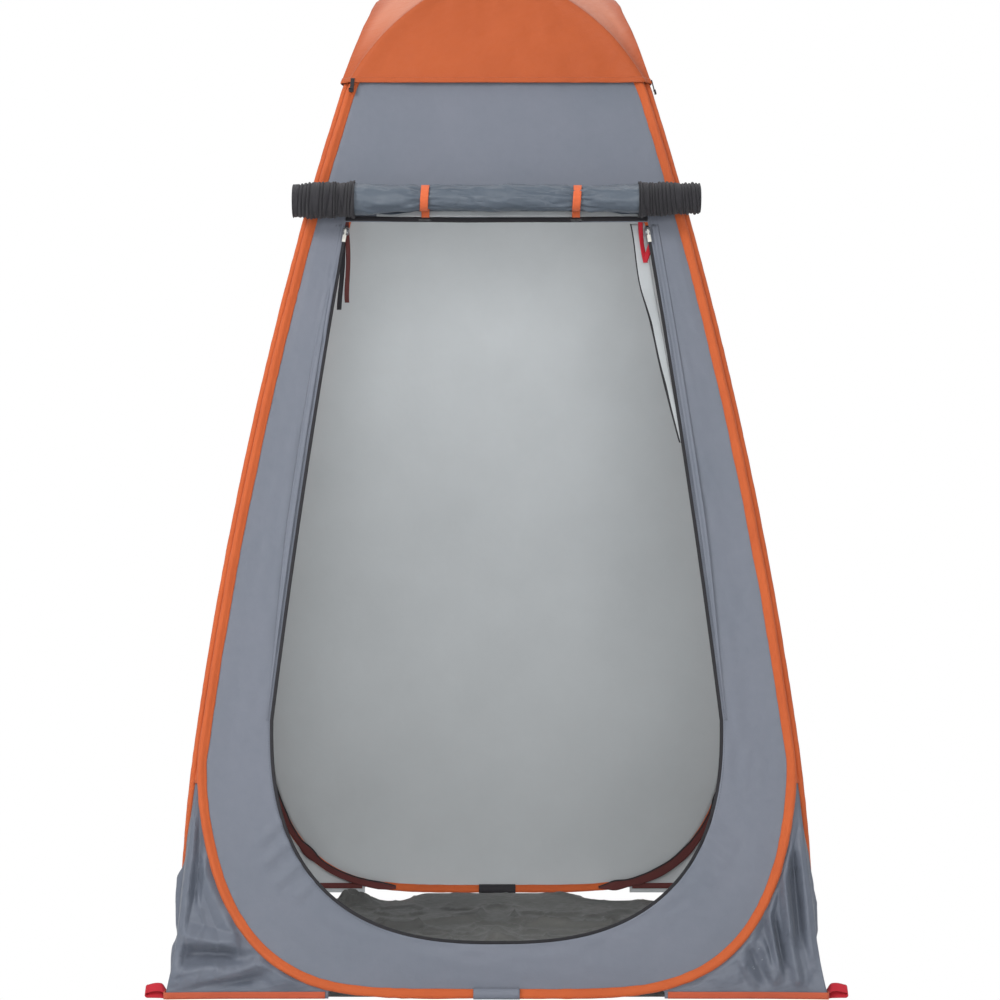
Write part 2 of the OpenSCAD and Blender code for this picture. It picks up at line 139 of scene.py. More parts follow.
def on_wall(x, z, out=0.0):
    """A point of the front wall, moved outwards along the wall's normal."""
    x, z, out = np.broadcast_arrays(np.asarray(x, float), np.asarray(z, float), np.asarray(out, float))
    lean = np.arcsin((z - CENTRE_Z) / WALL_R)
    return np.stack([x, -wall_s(z) - out * np.cos(lean), z + out * np.sin(lean)], axis=-1)


def turned(points, side):
    """The front's points, carried round to another side."""
    points = np.array(points, float)
    for _ in range(SIDES.index(side)):
        points = np.stack([-points[..., 1], points[..., 0], points[..., 2]], axis=-1)
    return points


def distance_along(line):
    """Length run from a line's start to each of its points."""
    steps = np.linalg.norm(np.diff(np.asarray(line, float), axis=0), axis=1)
    return np.concatenate([[0.0], np.cumsum(steps)])


def tangents(line, closed=False):
    """Unit direction of a line at each of its points."""
    line = np.asarray(line, float)
    along = np.roll(line, -1, 0) - np.roll(line, 1, 0) if closed else np.gradient(line, axis=0)
    return along / np.maximum(np.linalg.norm(along, axis=1, keepdims=True), 1e-9)


def wall_normal(z):
    lean = np.arcsin((np.asarray(z, float) - CENTRE_Z) / WALL_R)
    return np.stack([np.zeros_like(lean), -np.cos(lean), np.sin(lean)], -1)


def evenly(line, count):
    """The same line with count points spaced evenly along it."""
    line = np.asarray(line, float)
    along = distance_along(line)
    at = np.linspace(0, along[-1], count)
    return np.stack([np.interp(at, along, line[:, k]) for k in range(line.shape[1])], axis=1)


def hoop_half(fine=200):
    """Right half of a hoop's centreline as [x, z], bottom to top."""
    t = np.radians(90) * np.linspace(0, 1, fine) ** 2
    z = SLEEVE_R + (LOW_H - SLEEVE_R) * (1 - np.cos(t) ** (2 / LOW_HEIGHT_POWER))
    low = np.stack([(wall_s(z) - SEAM_INSET) * np.sin(t) ** (2 / LOW_WIDTH_POWER), z], 1)
    z = np.linspace(LOW_H, ARCH_START_H, fine)[1:-1]
    side = np.stack([wall_s(z) - SEAM_INSET, z], 1)
    t = np.radians(np.linspace(0, 90, fine))
    z = ARCH_START_H + (ARCH_H - ARCH_START_H) * np.sin(t)
    arch = np.stack([(wall_s(z) - SEAM_INSET) * np.cos(t), z], 1)
    return np.concatenate([low, side, arch])


def jamb_x(z):
    """Half width of the doorway at height z, above its widest part."""
    share = (np.asarray(z) - DOOR_WIDE_H) / (HEAD_H - DOOR_WIDE_H)
    return DOOR_WIDE_S + (DOOR_TOP_S - DOOR_WIDE_S) * share + 4 * JAMB_BOW * share * (1 - share)


def sill_half(fine=160):
    """Right half of the doorway's lower edge as [x, z]."""
    t = np.radians(90) * np.linspace(0, 1, fine) ** 2
    z = SILL_H + (DOOR_WIDE_H - SILL_H) * (1 - np.cos(t) ** (2 / SILL_HEIGHT_POWER))
    return np.stack([DOOR_WIDE_S * np.sin(t) ** (2 / SILL_WIDTH_POWER), z], 1)


def jamb_half(fine=80, top=HEAD_H):
    """Right jamb as [x, z], upwards."""
    z = np.linspace(DOOR_WIDE_H, top, fine)
    return np.stack([jamb_x(z), z], 1)


def mirrored_loop(half):
    """A closed loop from its right half, starting at the bottom."""
    left = half[-2:0:-1] * np.array([-1.0, 1.0])
    return np.concatenate([half, left])


def moved_out(line, g, closed=True):
    """An outline moved to its outer side by g."""
    along = tangents(line, closed)
    return line + g * np.stack([along[:, 1], -along[:, 0]], 1)


# ---------------------------------------------------------------- noise

def value_noise(x, y, seed):
    """Smooth noise from -1 to 1 on a square lattice."""
    x, y = np.broadcast_arrays(np.asarray(x, float), np.asarray(y, float))
    table = np.random.default_rng(seed).uniform(-1, 1, (97, 89))
    xi = np.floor(x).astype(int)
    yi = np.floor(y).astype(int)
    fx = x - xi
    fy = y - yi
    fx = fx * fx * fx * (fx * (fx * 6 - 15) + 10)
    fy = fy * fy * fy * (fy * (fy * 6 - 15) + 10)
    a = table[xi % 97, yi % 89]
    b = table[(xi + 1) % 97, yi % 89]
    c = table[xi % 97, (yi + 1) % 89]
    d = table[(xi + 1) % 97, (yi + 1) % 89]
    return (a * (1 - fx) + b * fx) * (1 - fy) + (c * (1 - fx) + d * fx) * fy


def layered_noise(x, y, seed, layers=2):
    """Noise with finer and weaker layers added to it."""
    return sum(value_noise(x * 2 ** k, y * 2 ** k, seed + k) / 2 ** k for k in range(layers))


def creases(x, y, seed):
    """Narrow ridges between soft hollows, from 0 to 1."""
    return 1 - np.minimum(1, np.abs(layered_noise(x, y, seed)) * 2.2)


def smooth_step(low, high, value):
    """0 below low and 1 above high, with an eased change between."""
    t = np.clip((np.asarray(value, float) - low) / (high - low), 0, 1)
    return t * t * (3 - 2 * t)


# ---------------------------------------------------------------- materials

def srgb(r, g, b):
    """A colour given as 0 to 255 display values, in linear light."""
    channels = [c / 255 for c in (r, g, b)]
    linear = [c / 12.92 if c <= 0.04045 else ((c + 0.055) / 1.055) ** 2.4 for c in channels]
    return (*linear, 1.0)


class Finish:
    """A material under construction: its nodes, its links and its shader."""

    def __init__(self, name):
        self.material = bpy.data.materials.new(name)
        self.material.use_nodes = True
        self.nodes = self.material.node_tree.nodes
        self.links = self.material.node_tree.links
        self.nodes.clear()
        self.output = self.nodes.new("ShaderNodeOutputMaterial")
        self.shader = self.nodes.new("ShaderNodeBsdfPrincipled")
        self.links.new(self.shader.outputs["BSDF"], self.output.inputs["Surface"])

    def node(self, kind, **values):
        """A new node with those inputs set, or linked where the value is another node's output."""
        node = self.nodes.new(kind)
        for label, value in values.items():
            self.give(node.inputs[label.replace("_", " ")], value)
        return node

    def give(self, socket, value):
        if isinstance(value, bpy.types.NodeSocket):
            self.links.new(value, socket)
        else:
            socket.default_value = value

    def set(self, **values):
        """Inputs of the shader itself."""
        for label, value in values.items():
            self.give(self.shader.inputs[label.replace("_", " ")], value)

    def place(self, kind):
        """Where on the piece a point is: its cloth's own UV, or its position."""
        mapping = self.node("ShaderNodeMapping")
        self.links.new(self.nodes.new("ShaderNodeTexCoord").outputs[kind], mapping.inputs["Vector"])
        return mapping.outputs["Vector"]

    def noise(self, place, scale, detail=3.0, roughness=0.55, distortion=0.0):
        values = {"Scale": scale, "Detail": detail, "Roughness": roughness, "Distortion": distortion}
        return self.node("ShaderNodeTexNoise", Vector=place, **values).outputs["Fac"]

    def remap(self, value, from_low, from_high, to_low, to_high):
        values = {"From Min": from_low, "From Max": from_high, "To Min": to_low, "To Max": to_high}
        return self.node("ShaderNodeMapRange", Value=value, **values).outputs["Result"]

    def mix(self, share, a, b):
        """Colour a turning into colour b as share goes from 0 to 1."""
        node = self.nodes.new("ShaderNodeMix")
        node.data_type = "RGBA"
        colours = [socket for socket in node.inputs if socket.type == "RGBA"]
        self.give([socket for socket in node.inputs if socket.type == "VALUE"][0], share)
        self.give(colours[0], a)
        self.give(colours[1], b)
        return [socket for socket in node.outputs if socket.type == "RGBA"][0]

    def dye(self, place, scale, detail, roughness, low, share, base, shade):
        """Uneven colour: base, with up to that share of shade in patches."""
        broad = self.noise(place, scale, detail, roughness)
        return self.mix(self.remap(broad, low, 0.7, 0.0, share), srgb(*base), srgb(*shade))

    def bands(self, place, direction, pitch, distortion, detail=2.0):
        values = {"Scale": 0.314 / pitch, "Distortion": distortion, "Detail": detail}
        node = self.node("ShaderNodeTexWave", Vector=place, **values)
        node.wave_type = "BANDS"
        node.bands_direction = direction
        return node.outputs["Fac"]

    def weave(self, place, pitch):
        """Over-and-under height of a plain weave with that thread pitch."""
        node = self.nodes.new("ShaderNodeMath")
        node.operation = "MULTIPLY"
        for k, direction in enumerate("XY"):
            self.links.new(self.bands(place, direction, pitch, 0.4), node.inputs[k])
        return node.outputs[0]

    def bump(self, height, distance, strength, after=None):
        node = self.node("ShaderNodeBump", Height=height, Distance=distance, Strength=strength)
        if after is not None:
            self.links.new(after, node.inputs["Normal"])
        return node.outputs["Normal"]


def cloth_material(name, base, shade, weave=0.0009, crinkle=0.6, roughness=(0.5, 0.68), painted_backlight=None):
    """Coated plain-weave cloth: weave, small crinkles and uneven dye, with a lighter colour of painted
    backlight mixed in where asked.
    """
    finish = Finish(name)
    place = finish.place("UV")
    colour = finish.dye(place, 3.2, 4.0, 0.6, 0.3, 1.0, base, shade)
    # Painted light: a lighter colour mixed in where light shows through the cloth from behind
    if painted_backlight is not None:
        attribute = finish.nodes.new("ShaderNodeAttribute")
        attribute.attribute_name = "painted_backlight"
        colour = finish.mix(attribute.outputs["Fac"], colour, srgb(*painted_backlight))
    gloss = finish.remap(finish.noise(place, 60.0), 0.3, 0.7, *roughness)
    threads = finish.bump(finish.weave(place, weave), 0.0002, 0.35)
    crinkles = finish.bump(finish.noise(place, 26.0, 4.0, 0.6, 0.4), 0.004, crinkle * 0.5, threads)
    finish.set(Base_Color=colour, Roughness=gloss, Normal=crinkles)
    finish.set(Sheen_Weight=0.08, Sheen_Roughness=0.4, Specular_IOR_Level=0.4)
    return finish.material


def tape_material(name, base, shade, rib=0.0012):
    """Ribbed binding tape or webbing, its ribs across the run."""
    finish = Finish(name)
    place = finish.place("UV")
    weave = finish.weave(place, rib)
    dark = finish.dye(place, 9.0, 4.0, 0.6, 0.3, 0.5, base, shade)
    # Painted shade: the weave's hollows darkened up to a quarter of the way to the shade colour
    colour = finish.mix(finish.remap(weave, 0.0, 0.4, 0.25, 0.0), dark, srgb(*shade))
    ribs = finish.bump(finish.bands(place, "X", rib, 0.6, 1.0), 0.0004, 0.5)
    rough = finish.bump(weave, 0.0003, 0.4, ribs)
    finish.set(Base_Color=colour, Roughness=0.7, Sheen_Weight=0.1, Normal=rough)
    return finish.material


def hard_material(name, base, shade, metallic=0.0, roughness=(0.3, 0.45)):
    """Moulded plastic, plated metal or thread with a fine uneven surface."""
    finish = Finish(name)
    place = finish.place("Object")
    fine = finish.noise(place, 900.0, 2.0)
    colour = finish.dye(place, 120.0, 3.0, 0.55, 0.35, 1.0, base, shade)
    finish.set(Base_Color=colour, Roughness=finish.remap(fine, 0.3, 0.7, *roughness), Metallic=metallic)
    finish.set(Normal=finish.bump(fine, 0.00006, 0.5))
    return finish.material


GREY_OUT = cloth_material("grey_cloth_outside", (117, 121, 132), (109, 115, 126))
SILVER_IN = cloth_material("silver_cloth_inside", (186, 190, 192), (178, 182, 184), crinkle=0.3)
GREY_GUSSET = cloth_material(
    "grey_gusset_cloth", (112, 117, 128), (94, 101, 113),
    crinkle=0.9, roughness=(0.36, 0.5),
)
ROLL_CLOTH = cloth_material(
    "rolled_door_cloth", (94, 103, 113), (76, 86, 98),
    crinkle=1.0, roughness=(0.3, 0.46),
)
# The cap's corners get a lighter orange as painted light, where light shows through them
CAP_CLOTH = cloth_material("orange_cap_cloth", (184, 86, 38), (172, 78, 32), painted_backlight=(202, 122, 90))
CAP_LINING = cloth_material("orange_cap_lining", (190, 110, 70), (176, 96, 58))
ORANGE_TAPE = tape_material("orange_binding_tape", (210, 99, 42), (182, 76, 28))
HEM_TAPE = tape_material("orange_hem_tape", (205, 96, 60), (170, 70, 42))
ORANGE_WEBBING = tape_material("orange_webbing", (232, 112, 62), (200, 84, 40), rib=0.0016)
RED_WEBBING = tape_material("red_webbing", (206, 20, 44), (150, 10, 26), rib=0.0016)
# Dark red: on the left red ribbon and on the back hoop's strip this darkness is painted shade
DARK_RED = tape_material("dark_red_tape", (104, 44, 40), (70, 28, 28))
BLACK_TAPE = tape_material("black_tape", (39, 37, 42), (22, 21, 25), rib=0.0014)
BLACK_COIL = hard_material("zip_coil", (40, 40, 44), (24, 24, 28), roughness=(0.35, 0.5))
STITCH_ORANGE = hard_material("orange_thread", (206, 98, 46), (176, 78, 34), roughness=(0.6, 0.8))
STITCH_GREY = hard_material("grey_thread", (96, 102, 114), (76, 82, 94), roughness=(0.6, 0.8))
FLOOR_CLOTH = cloth_material(
    "floor_sheet_cloth", (94, 94, 91), (68, 68, 67),
    crinkle=1.2, roughness=(0.38, 0.55),
)
ROOF_NET = cloth_material("roof_net", (70, 70, 74), (50, 50, 54), weave=0.0022, crinkle=0.3)
ZIP_METAL = hard_material(
    "plated_zip_metal", (205, 206, 208), (170, 172, 176),
    metallic=1.0, roughness=(0.2, 0.34),
)
PULL_PLASTIC = hard_material("pale_pull_plastic", (226, 224, 214), (206, 204, 196))
BLACK_PLASTIC = hard_material("black_moulding", (38, 38, 40), (26, 26, 28))
WIRE_STEEL = hard_material("spring_steel", (120, 121, 124), (92, 93, 97), metallic=1.0, roughness=(0.3, 0.45))


# ---------------------------------------------------------------- meshes

def finish_piece(obj, body, nodes=()):
    """The piece rides on a body and stands for those nodes."""
    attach(obj, body)
    if nodes:
        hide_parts(*nodes)


def in_scene(name, mesh):
    obj = bpy.data.objects.new(name, mesh)
    bpy.context.scene.collection.objects.link(obj)
    return obj


def smooth(mesh):
    mesh.polygons.foreach_set("use_smooth", [True] * len(mesh.polygons))


def mesh_object(name, verts, faces, materials, uvs=None, attributes=None):
    mesh = bpy.data.meshes.new(name)
    corners = [tuple(int(i) for i in face) for face in faces]
    mesh.from_pydata([tuple(v) for v in np.asarray(verts, float)], [], corners)
    if uvs is not None:
        layer = mesh.uv_layers.new(name="UVMap")
        index = np.zeros(len(mesh.loops), int)
        mesh.loops.foreach_get("vertex_index", index)
        layer.data.foreach_set("uv", np.asarray(uvs, float)[index].ravel())
    for key, values in (attributes or {}).items():
        attribute = mesh.attributes.new(key, "FLOAT", "POINT")
        attribute.data.foreach_set("value", np.asarray(values, float).ravel())
    smooth(mesh)
    mesh.update()
    for material in materials:
        mesh.materials.append(material)
    return in_scene(name, mesh)


def grid_faces(rows, cols, wrap_rows=False, wrap_cols=False, flip=False):
    """Four-sided faces of a grid of points, closed on itself where asked."""
    r = np.arange(rows if wrap_rows else rows - 1)
    c = np.arange(cols if wrap_cols else cols - 1)
    r, c = [a.ravel() for a in np.meshgrid(r, c, indexing="ij")]
    r2 = (r + 1) % rows
    c2 = (c + 1) % cols
    faces = np.stack([r * cols + c, r * cols + c2, r2 * cols + c2, r2 * cols + c], 1)
    return faces[:, ::-1] if flip else faces


def grid_object(name, points, materials, uv=None, attributes=None, **faces):
    """A sheet from a grid of points; its UV is in metres along rows and columns."""
    rows, cols = points.shape[:2]
    if uv is None:
        across = np.cumsum(np.linalg.norm(np.diff(points, axis=1), axis=2), 1)
        down = np.cumsum(np.linalg.norm(np.diff(points, axis=0), axis=2), 0)
        across = np.concatenate([np.zeros((rows, 1)), across], 1)
        down = np.concatenate([np.zeros((1, cols)), down], 0)
        uv = np.stack([across, down], -1)
    return mesh_object(
        name, points.reshape(-1, 3), grid_faces(rows, cols, **faces),
        materials, np.asarray(uv).reshape(-1, 2), attributes,
    )


def apply_modifiers(obj):
    """The piece with its modifiers worked into a plain mesh."""
    graph = bpy.context.evaluated_depsgraph_get()
    mesh = bpy.data.meshes.new_from_object(obj.evaluated_get(graph))
    old = obj.data
    obj.modifiers.clear()
    obj.data = mesh
    bpy.data.meshes.remove(old)
    return obj


def thicken(obj, thickness=CLOTH_T, lined=False):
    """A sheet gets its cloth's thickness; a lined one shows its second material inside."""
    solid = obj.modifiers.new("cloth", "SOLIDIFY")
    solid.thickness = thickness
    solid.offset = 0.0
    solid.use_even_offset = False
    if lined:
        solid.material_offset = 1
    return apply_modifiers(obj)


def joined(name, pieces):
    """Several pieces made one."""
    mesh = bpy.data.meshes.new(name)
    verts, faces, uvs, materials, painted = [], [], [], [], []
    for piece in pieces:
        data = piece.data
        base = len(verts)
        verts.extend(tuple(v.co) for v in data.vertices)
        layer = data.uv_layers.active
        for material in data.materials:
            if material not in materials:
                materials.append(material)
        for polygon in data.polygons:
            faces.append([base + i for i in polygon.vertices])
            painted.append(materials.index(data.materials[polygon.material_index]))
            uvs.extend(tuple(layer.data[i].uv) for i in polygon.loop_indices)
    mesh.from_pydata(verts, [], faces)
    layer = mesh.uv_layers.new(name="UVMap")
    layer.data.foreach_set("uv", np.asarray(uvs, float).ravel())
    for material in materials:
        mesh.materials.append(material)
    mesh.polygons.foreach_set("material_index", painted)
    smooth(mesh)
    mesh.update()
    obj = in_scene(name, mesh)
    for piece in pieces:
        bpy.data.objects.remove(piece)
    return obj


def strip(name, line, across, half_width, material, thickness=0.001, lanes=5):
    """A flat tape along a 3-D line; across is the direction of its width at each point."""
    line = np.asarray(line, float)
    across = np.asarray(across, float)
    across = across / np.maximum(np.linalg.norm(across, axis=1, keepdims=True), 1e-9)
    offsets = np.linspace(-1, 1, lanes)
    half = np.broadcast_to(np.asarray(half_width, float), (len(line),))
    points = line[:, None] + across[:, None] * (offsets[None, :, None] * half[:, None, None])
    uv = np.stack(np.broadcast_arrays(distance_along(line)[:, None], offsets[None] * half[:, None]), -1)
    return thicken(grid_object(name, points, [material], uv), thickness)


# ---------------------------------------------------------------- repeated small shapes

def row_tree():
    """Small shapes set along a path: stitches, zip teeth."""
    tree = bpy.data.node_groups.new("row_of_shapes", "GeometryNodeTree")
    interface = tree.interface
    interface.new_socket("Geometry", in_out="INPUT", socket_type="NodeSocketGeometry")
    for label, value in (("Spacing", 0.004), ("Length", 0.003), ("Width", THREAD_W), ("Height", THREAD_W)):
        socket = interface.new_socket(label, in_out="INPUT", socket_type="NodeSocketFloat")
        socket.default_value = value
    interface.new_socket("Material", in_out="INPUT", socket_type="NodeSocketMaterial")
    interface.new_socket("Geometry", in_out="OUTPUT", socket_type="NodeSocketGeometry")
    nodes = tree.nodes
    source = nodes.new("NodeGroupInput").outputs
    curve = nodes.new("GeometryNodeMeshToCurve")
    resample = nodes.new("GeometryNodeResampleCurve")
    resample.mode = "LENGTH"
    shape = nodes.new("GeometryNodeMeshIcoSphere")
    shape.inputs["Radius"].default_value = 0.5
    shape.inputs["Subdivisions"].default_value = 1
    tangent = nodes.new("GeometryNodeInputTangent")
    out = nodes.new("GeometryNodeInputNamedAttribute")
    out.data_type = "FLOAT_VECTOR"
    out.inputs["Name"].default_value = "out"
    turn = nodes.new("FunctionNodeAxesToRotation")
    turn.primary_axis = "Z"
    turn.secondary_axis = "X"
    size = nodes.new("ShaderNodeCombineXYZ")
    place = nodes.new("GeometryNodeInstanceOnPoints")
    real = nodes.new("GeometryNodeRealizeInstances")
    paint = nodes.new("GeometryNodeSetMaterial")
    result = nodes.new("NodeGroupOutput")
    for value, node, label in (
        (source["Geometry"], curve, "Mesh"),
        (curve.outputs["Curve"], resample, "Curve"),
        (source["Spacing"], resample, "Length"),
        (resample.outputs["Curve"], place, "Points"),
        (shape.outputs["Mesh"], place, "Instance"),
        (out.outputs["Attribute"], turn, "Primary Axis"),
        (tangent.outputs["Tangent"], turn, "Secondary Axis"),
        (turn.outputs["Rotation"], place, "Rotation"),
        (source["Length"], size, "X"),
        (source["Width"], size, "Y"),
        (source["Height"], size, "Z"),
        (size.outputs["Vector"], place, "Scale"),
        (place.outputs["Instances"], real, "Geometry"),
        (real.outputs["Geometry"], paint, "Geometry"),
        (source["Material"], paint, "Material"),
        (paint.outputs["Geometry"], result, "Geometry"),
    ):
        tree.links.new(value, node.inputs[label])
    return tree


ROW_TREE = row_tree()


def row_of_shapes(name, lines, outs, material, spacing, length, width, height, closed=False):
    """A plain mesh of small shapes along one or more paths."""
    verts, edges, normals = [], [], []
    for line, out in zip(lines, outs):
        base = len(verts)
        verts.extend(tuple(p) for p in line)
        normals.extend(tuple(n) for n in np.broadcast_to(out, np.asarray(line).shape))
        edges.extend((base + i, base + i + 1) for i in range(len(line) - 1))
        if closed:
            edges.append((base + len(line) - 1, base))
    mesh = bpy.data.meshes.new(name)
    mesh.from_pydata(verts, edges, [])
    attribute = mesh.attributes.new("out", "FLOAT_VECTOR", "POINT")
    attribute.data.foreach_set("vector", np.asarray(normals, float).ravel())
    obj = in_scene(name, mesh)
    modifier = obj.modifiers.new("row", "NODES")
    modifier.node_group = ROW_TREE
    values = {"Spacing": spacing, "Length": length, "Width": width, "Height": height, "Material": material}
    for item in ROW_TREE.interface.items_tree:
        if item.in_out == "INPUT" and item.name in values:
            modifier[item.identifier] = values[item.name]
    apply_modifiers(obj)
    smooth(obj.data)
    return obj


def sewing(name, lines, outs, material, spacing, length, body, closed=False):
    """Stitches along one or more seams."""
    stitches = row_of_shapes(name, lines, outs, material, spacing, length, THREAD_W, THREAD_H, closed)
    finish_piece(stitches, body)


# ---------------------------------------------------------------- hoops and walls

HOOP = evenly(mirrored_loop(hoop_half()).tolist() + [[0.0, SLEEVE_R]], 641)[:-1]


def make_sleeve(side):
    """A tape folded round the wire: a round outer edge and a flat sewn flange."""
    line = on_wall(HOOP[:, 0], HOOP[:, 1])
    along = tangents(line, closed=True)
    out = wall_normal(HOOP[:, 1])
    across = np.cross(along, out)
    round_part = np.radians(np.linspace(118, -118, 13))
    shape = [(-0.0092, 0.0010), (-0.0062, 0.0014), (-0.0035, 0.0030)]
    shape += [(0.0027 + 0.0063 * math.cos(a), 0.0063 * math.sin(a)) for a in round_part]
    shape += [(-0.0035, -0.0030), (-0.0062, -0.0014), (-0.0092, -0.0010)]
    shape = np.array(shape)
    step = np.arange(len(HOOP))
    k = SIDES.index(side)
    pucker = 1 + 0.05 * value_noise(step * 0.55, k * 7.3, 31) + 0.03 * value_noise(step * 0.17, 3.1, 32)
    sway = 0.0006 * value_noise(step * 0.09, k * 5.1, 33)
    sideways = shape[None, :, 0] * pucker[:, None] + sway[:, None]
    outwards = shape[None, :, 1] * pucker[:, None]
    points = line[:, None] + sideways[..., None] * across[:, None] + outwards[..., None] * out[:, None]
    # Nothing reaches under the ground
    points[..., 2] = np.maximum(points[..., 2], 0.0)
    uv = np.stack(np.broadcast_arrays(distance_along(line)[:, None], distance_along(shape)[None]), -1)
    obj = grid_object(side + "_sleeve_tape", turned(points, side), [ORANGE_TAPE], uv, wrap_rows=True)
    thicken(obj, 0.0008)
    finish_piece(obj, "shelter", [side + "_hoop_sleeve"])
    seams = [turned(line - across * SEAM_IN + out * face * SEAM_OUT, side) for face in (1, -1)]
    outs = [turned(out, side), turned(-out, side)]
    name = side + "_sleeve_stitches"
    sewing(name, seams, outs, STITCH_ORANGE, 0.0052, 0.0034, "shelter", closed=True)


for name in SIDES:
    make_sleeve(name)


def make_corner_seam(side):
    """The tape that joins two hoops' sleeves along the corner right of a side."""
    z = np.linspace(LOW_H - 0.05, ARCH_START_H + 0.03, 160)
    s = wall_s(z) - 0.0062
    line = np.stack([s, -s, z], 1)
    across = np.tile([1.0, 1.0, 0.0], (len(z), 1))
    line, across = turned(line, side), turned(across, side)
    obj = strip(side + "_corner_seam", line, across, SEAM_TAPE_HALF, ORANGE_TAPE, lanes=4)
    finish_piece(obj, "shelter")


for name in SIDES:
    make_corner_seam(name)


def make_back_sleeve_shade():
    """A dark red strip with a wavy black edge over the inside of the back hoop's lower curves: painted shade
    on the sleeve's inner face.
    """
    pieces = []
    for x_side in (-1, 1):
        near = HOOP[(HOOP[:, 0] * x_side > 0.235) & (HOOP[:, 1] < 0.42)]
        near = near[np.argsort(near[:, 1] + np.abs(near[:, 0]) * 0.001)]
        line = on_wall(near[:, 0], near[:, 1], -0.0078)
        normal = wall_normal(near[:, 1])
        across = np.cross(tangents(line), normal)
        away = np.sign(np.sum(across * np.stack([near[:, 0], 0 * near[:, 0], near[:, 1] - 0.6], 1), axis=1))
        across = across * away[:, None]
        wave = value_noise(np.arange(len(near)) * 0.21, x_side * 3.0, 35)
        half = (0.0092 + 0.0030 * wave) * np.clip((np.abs(near[:, 0]) - 0.225) / 0.05, 0.1, 1)
        edge = line - across * (half + 0.0006)[:, None] + normal * -0.0005
        line, edge, across = [turned(part, "back") for part in (line, edge, across)]
        pieces.append(strip("lining", line, across, half, DARK_RED, 0.0008))
        pieces.append(strip("edge", edge, across, 0.0016, BLACK_TAPE, TAPE_T, lanes=3))
    obj = joined("back_hoop_painted_shade", pieces)
    finish_piece(obj, "shelter")


make_back_sleeve_shade()


def wall_relief(x, z, side):
    """Slight waves and tension lines of a taut wall, metres outwards."""
    shift = SIDES.index(side) * 11.7
    slow = 0.004 * value_noise(x * 2.1 + shift, z * 1.3, 41)
    lines = 0.0012 * layered_noise(x * 9 + shift + 2.4 * z, z * 2.2, 42)
    return slow + lines


def edge_share(distance, width):
    """0 at a held edge, 1 well away from it."""
    return smooth_step(0.0, width, distance)


def make_whole_wall(side):
    """A wall of cloth that fills its hoop."""
    edge = moved_out(HOOP, -WALL_INSET)
    right = edge[: len(edge) // 2 + 1]
    right = right[right[:, 0] >= -1e-6]
    heights, widths = right[:, 1].copy(), right[:, 0].copy()
    widths[0] = 0.0
    widths[-1] = 0.0
    rows = 150
    # Rows are closer together where the outline turns in
    at = evenly(np.stack([widths, heights], 1), rows)
    cols = 81
    share = np.linspace(-1, 1, cols)
    x = at[:, 0][:, None] * share[None]
    z = np.repeat(at[:, 1][:, None], cols, 1)
    z[0] = np.interp(np.abs(x[0]), widths, heights)
    near = (1 - np.abs(share))[None] * at[:, 0][:, None]
    ends = np.minimum(at[:, 1] - at[0, 1], at[-1, 1] - at[:, 1])[:, None]
    held = edge_share(np.minimum(near, ends), 0.06)
    out = wall_relief(x, z, side) * held
    points = on_wall(x, z, out)
    uv = np.stack([x, z], -1)
    obj = grid_object(side + "_wall_cloth", turned(points, side), [GREY_OUT, SILVER_IN], uv)
    thicken(obj, CLOTH_T, lined=True)
    finish_piece(obj, "shelter", [side + "_wall"])


for name in ("back", "left", "right"):
    make_whole_wall(name)


def door_half():
    """Right half of the doorway's outline, in three stretches of fixed count."""
    sill = evenly(sill_half(), 90)
    jamb = evenly(jamb_half(), 110)[1:]
    head = evenly([[DOOR_TOP_S, HEAD_H], [0.0, HEAD_H]], 40)[1:]
    return np.concatenate([sill, jamb, head])


def front_outer_half():
    """Right half of the front wall's outer edge, in stretches that match the doorway's."""
    edge = moved_out(HOOP, -WALL_INSET)
    right = edge[: len(edge) // 2 + 1]
    right[0, 0] = 0.0
    right[-1, 0] = 0.0
    z = right[:, 1]
    low_end = int(np.argmin(np.abs(z - (DOOR_WIDE_H - 0.02))))
    side_end = int(np.argmin(np.abs(z - 1.74)))
    low = evenly(right[: low_end + 1], 90)
    side = evenly(right[low_end: side_end + 1], 110)[1:]
    top = evenly(right[side_end:], 40)[1:]
    return np.concatenate([low, side, top])


def fold_relief(x, z, folds):
    """Height of a set of creases whose sides fall away straight from a sharp line."""
    height = np.zeros_like(x)
    for x0, z0, x1, z1, rise, width in folds:
        dx, dz = x1 - x0, z1 - z0
        length = math.hypot(dx, dz)
        t = ((x - x0) * dx + (z - z0) * dz) / length ** 2
        inside = np.clip(t, 0, 1)
        gap = np.hypot(x - x0 - inside * dx, z - z0 - inside * dz)
        shape = np.maximum(0, 1 - np.sqrt(gap ** 2 + 0.0018 ** 2) / width)
        ends = smooth_step(-0.02, 0.18, t) * (1 - smooth_step(0.82, 1.02, t))
        height = height + rise * shape * (0.35 + 0.65 * ends)
    return height


# Short tension lines beside the sill's curves
SILL_FOLDS = [
    (0.400, 0.330, 0.446, 0.284, 0.0060, 0.012),
    (0.384, 0.292, 0.438, 0.242, 0.0070, 0.013),
    (0.362, 0.256, 0.412, 0.206, 0.0062, 0.012),
    (0.336, 0.226, 0.376, 0.180, 0.0050, 0.012),
]


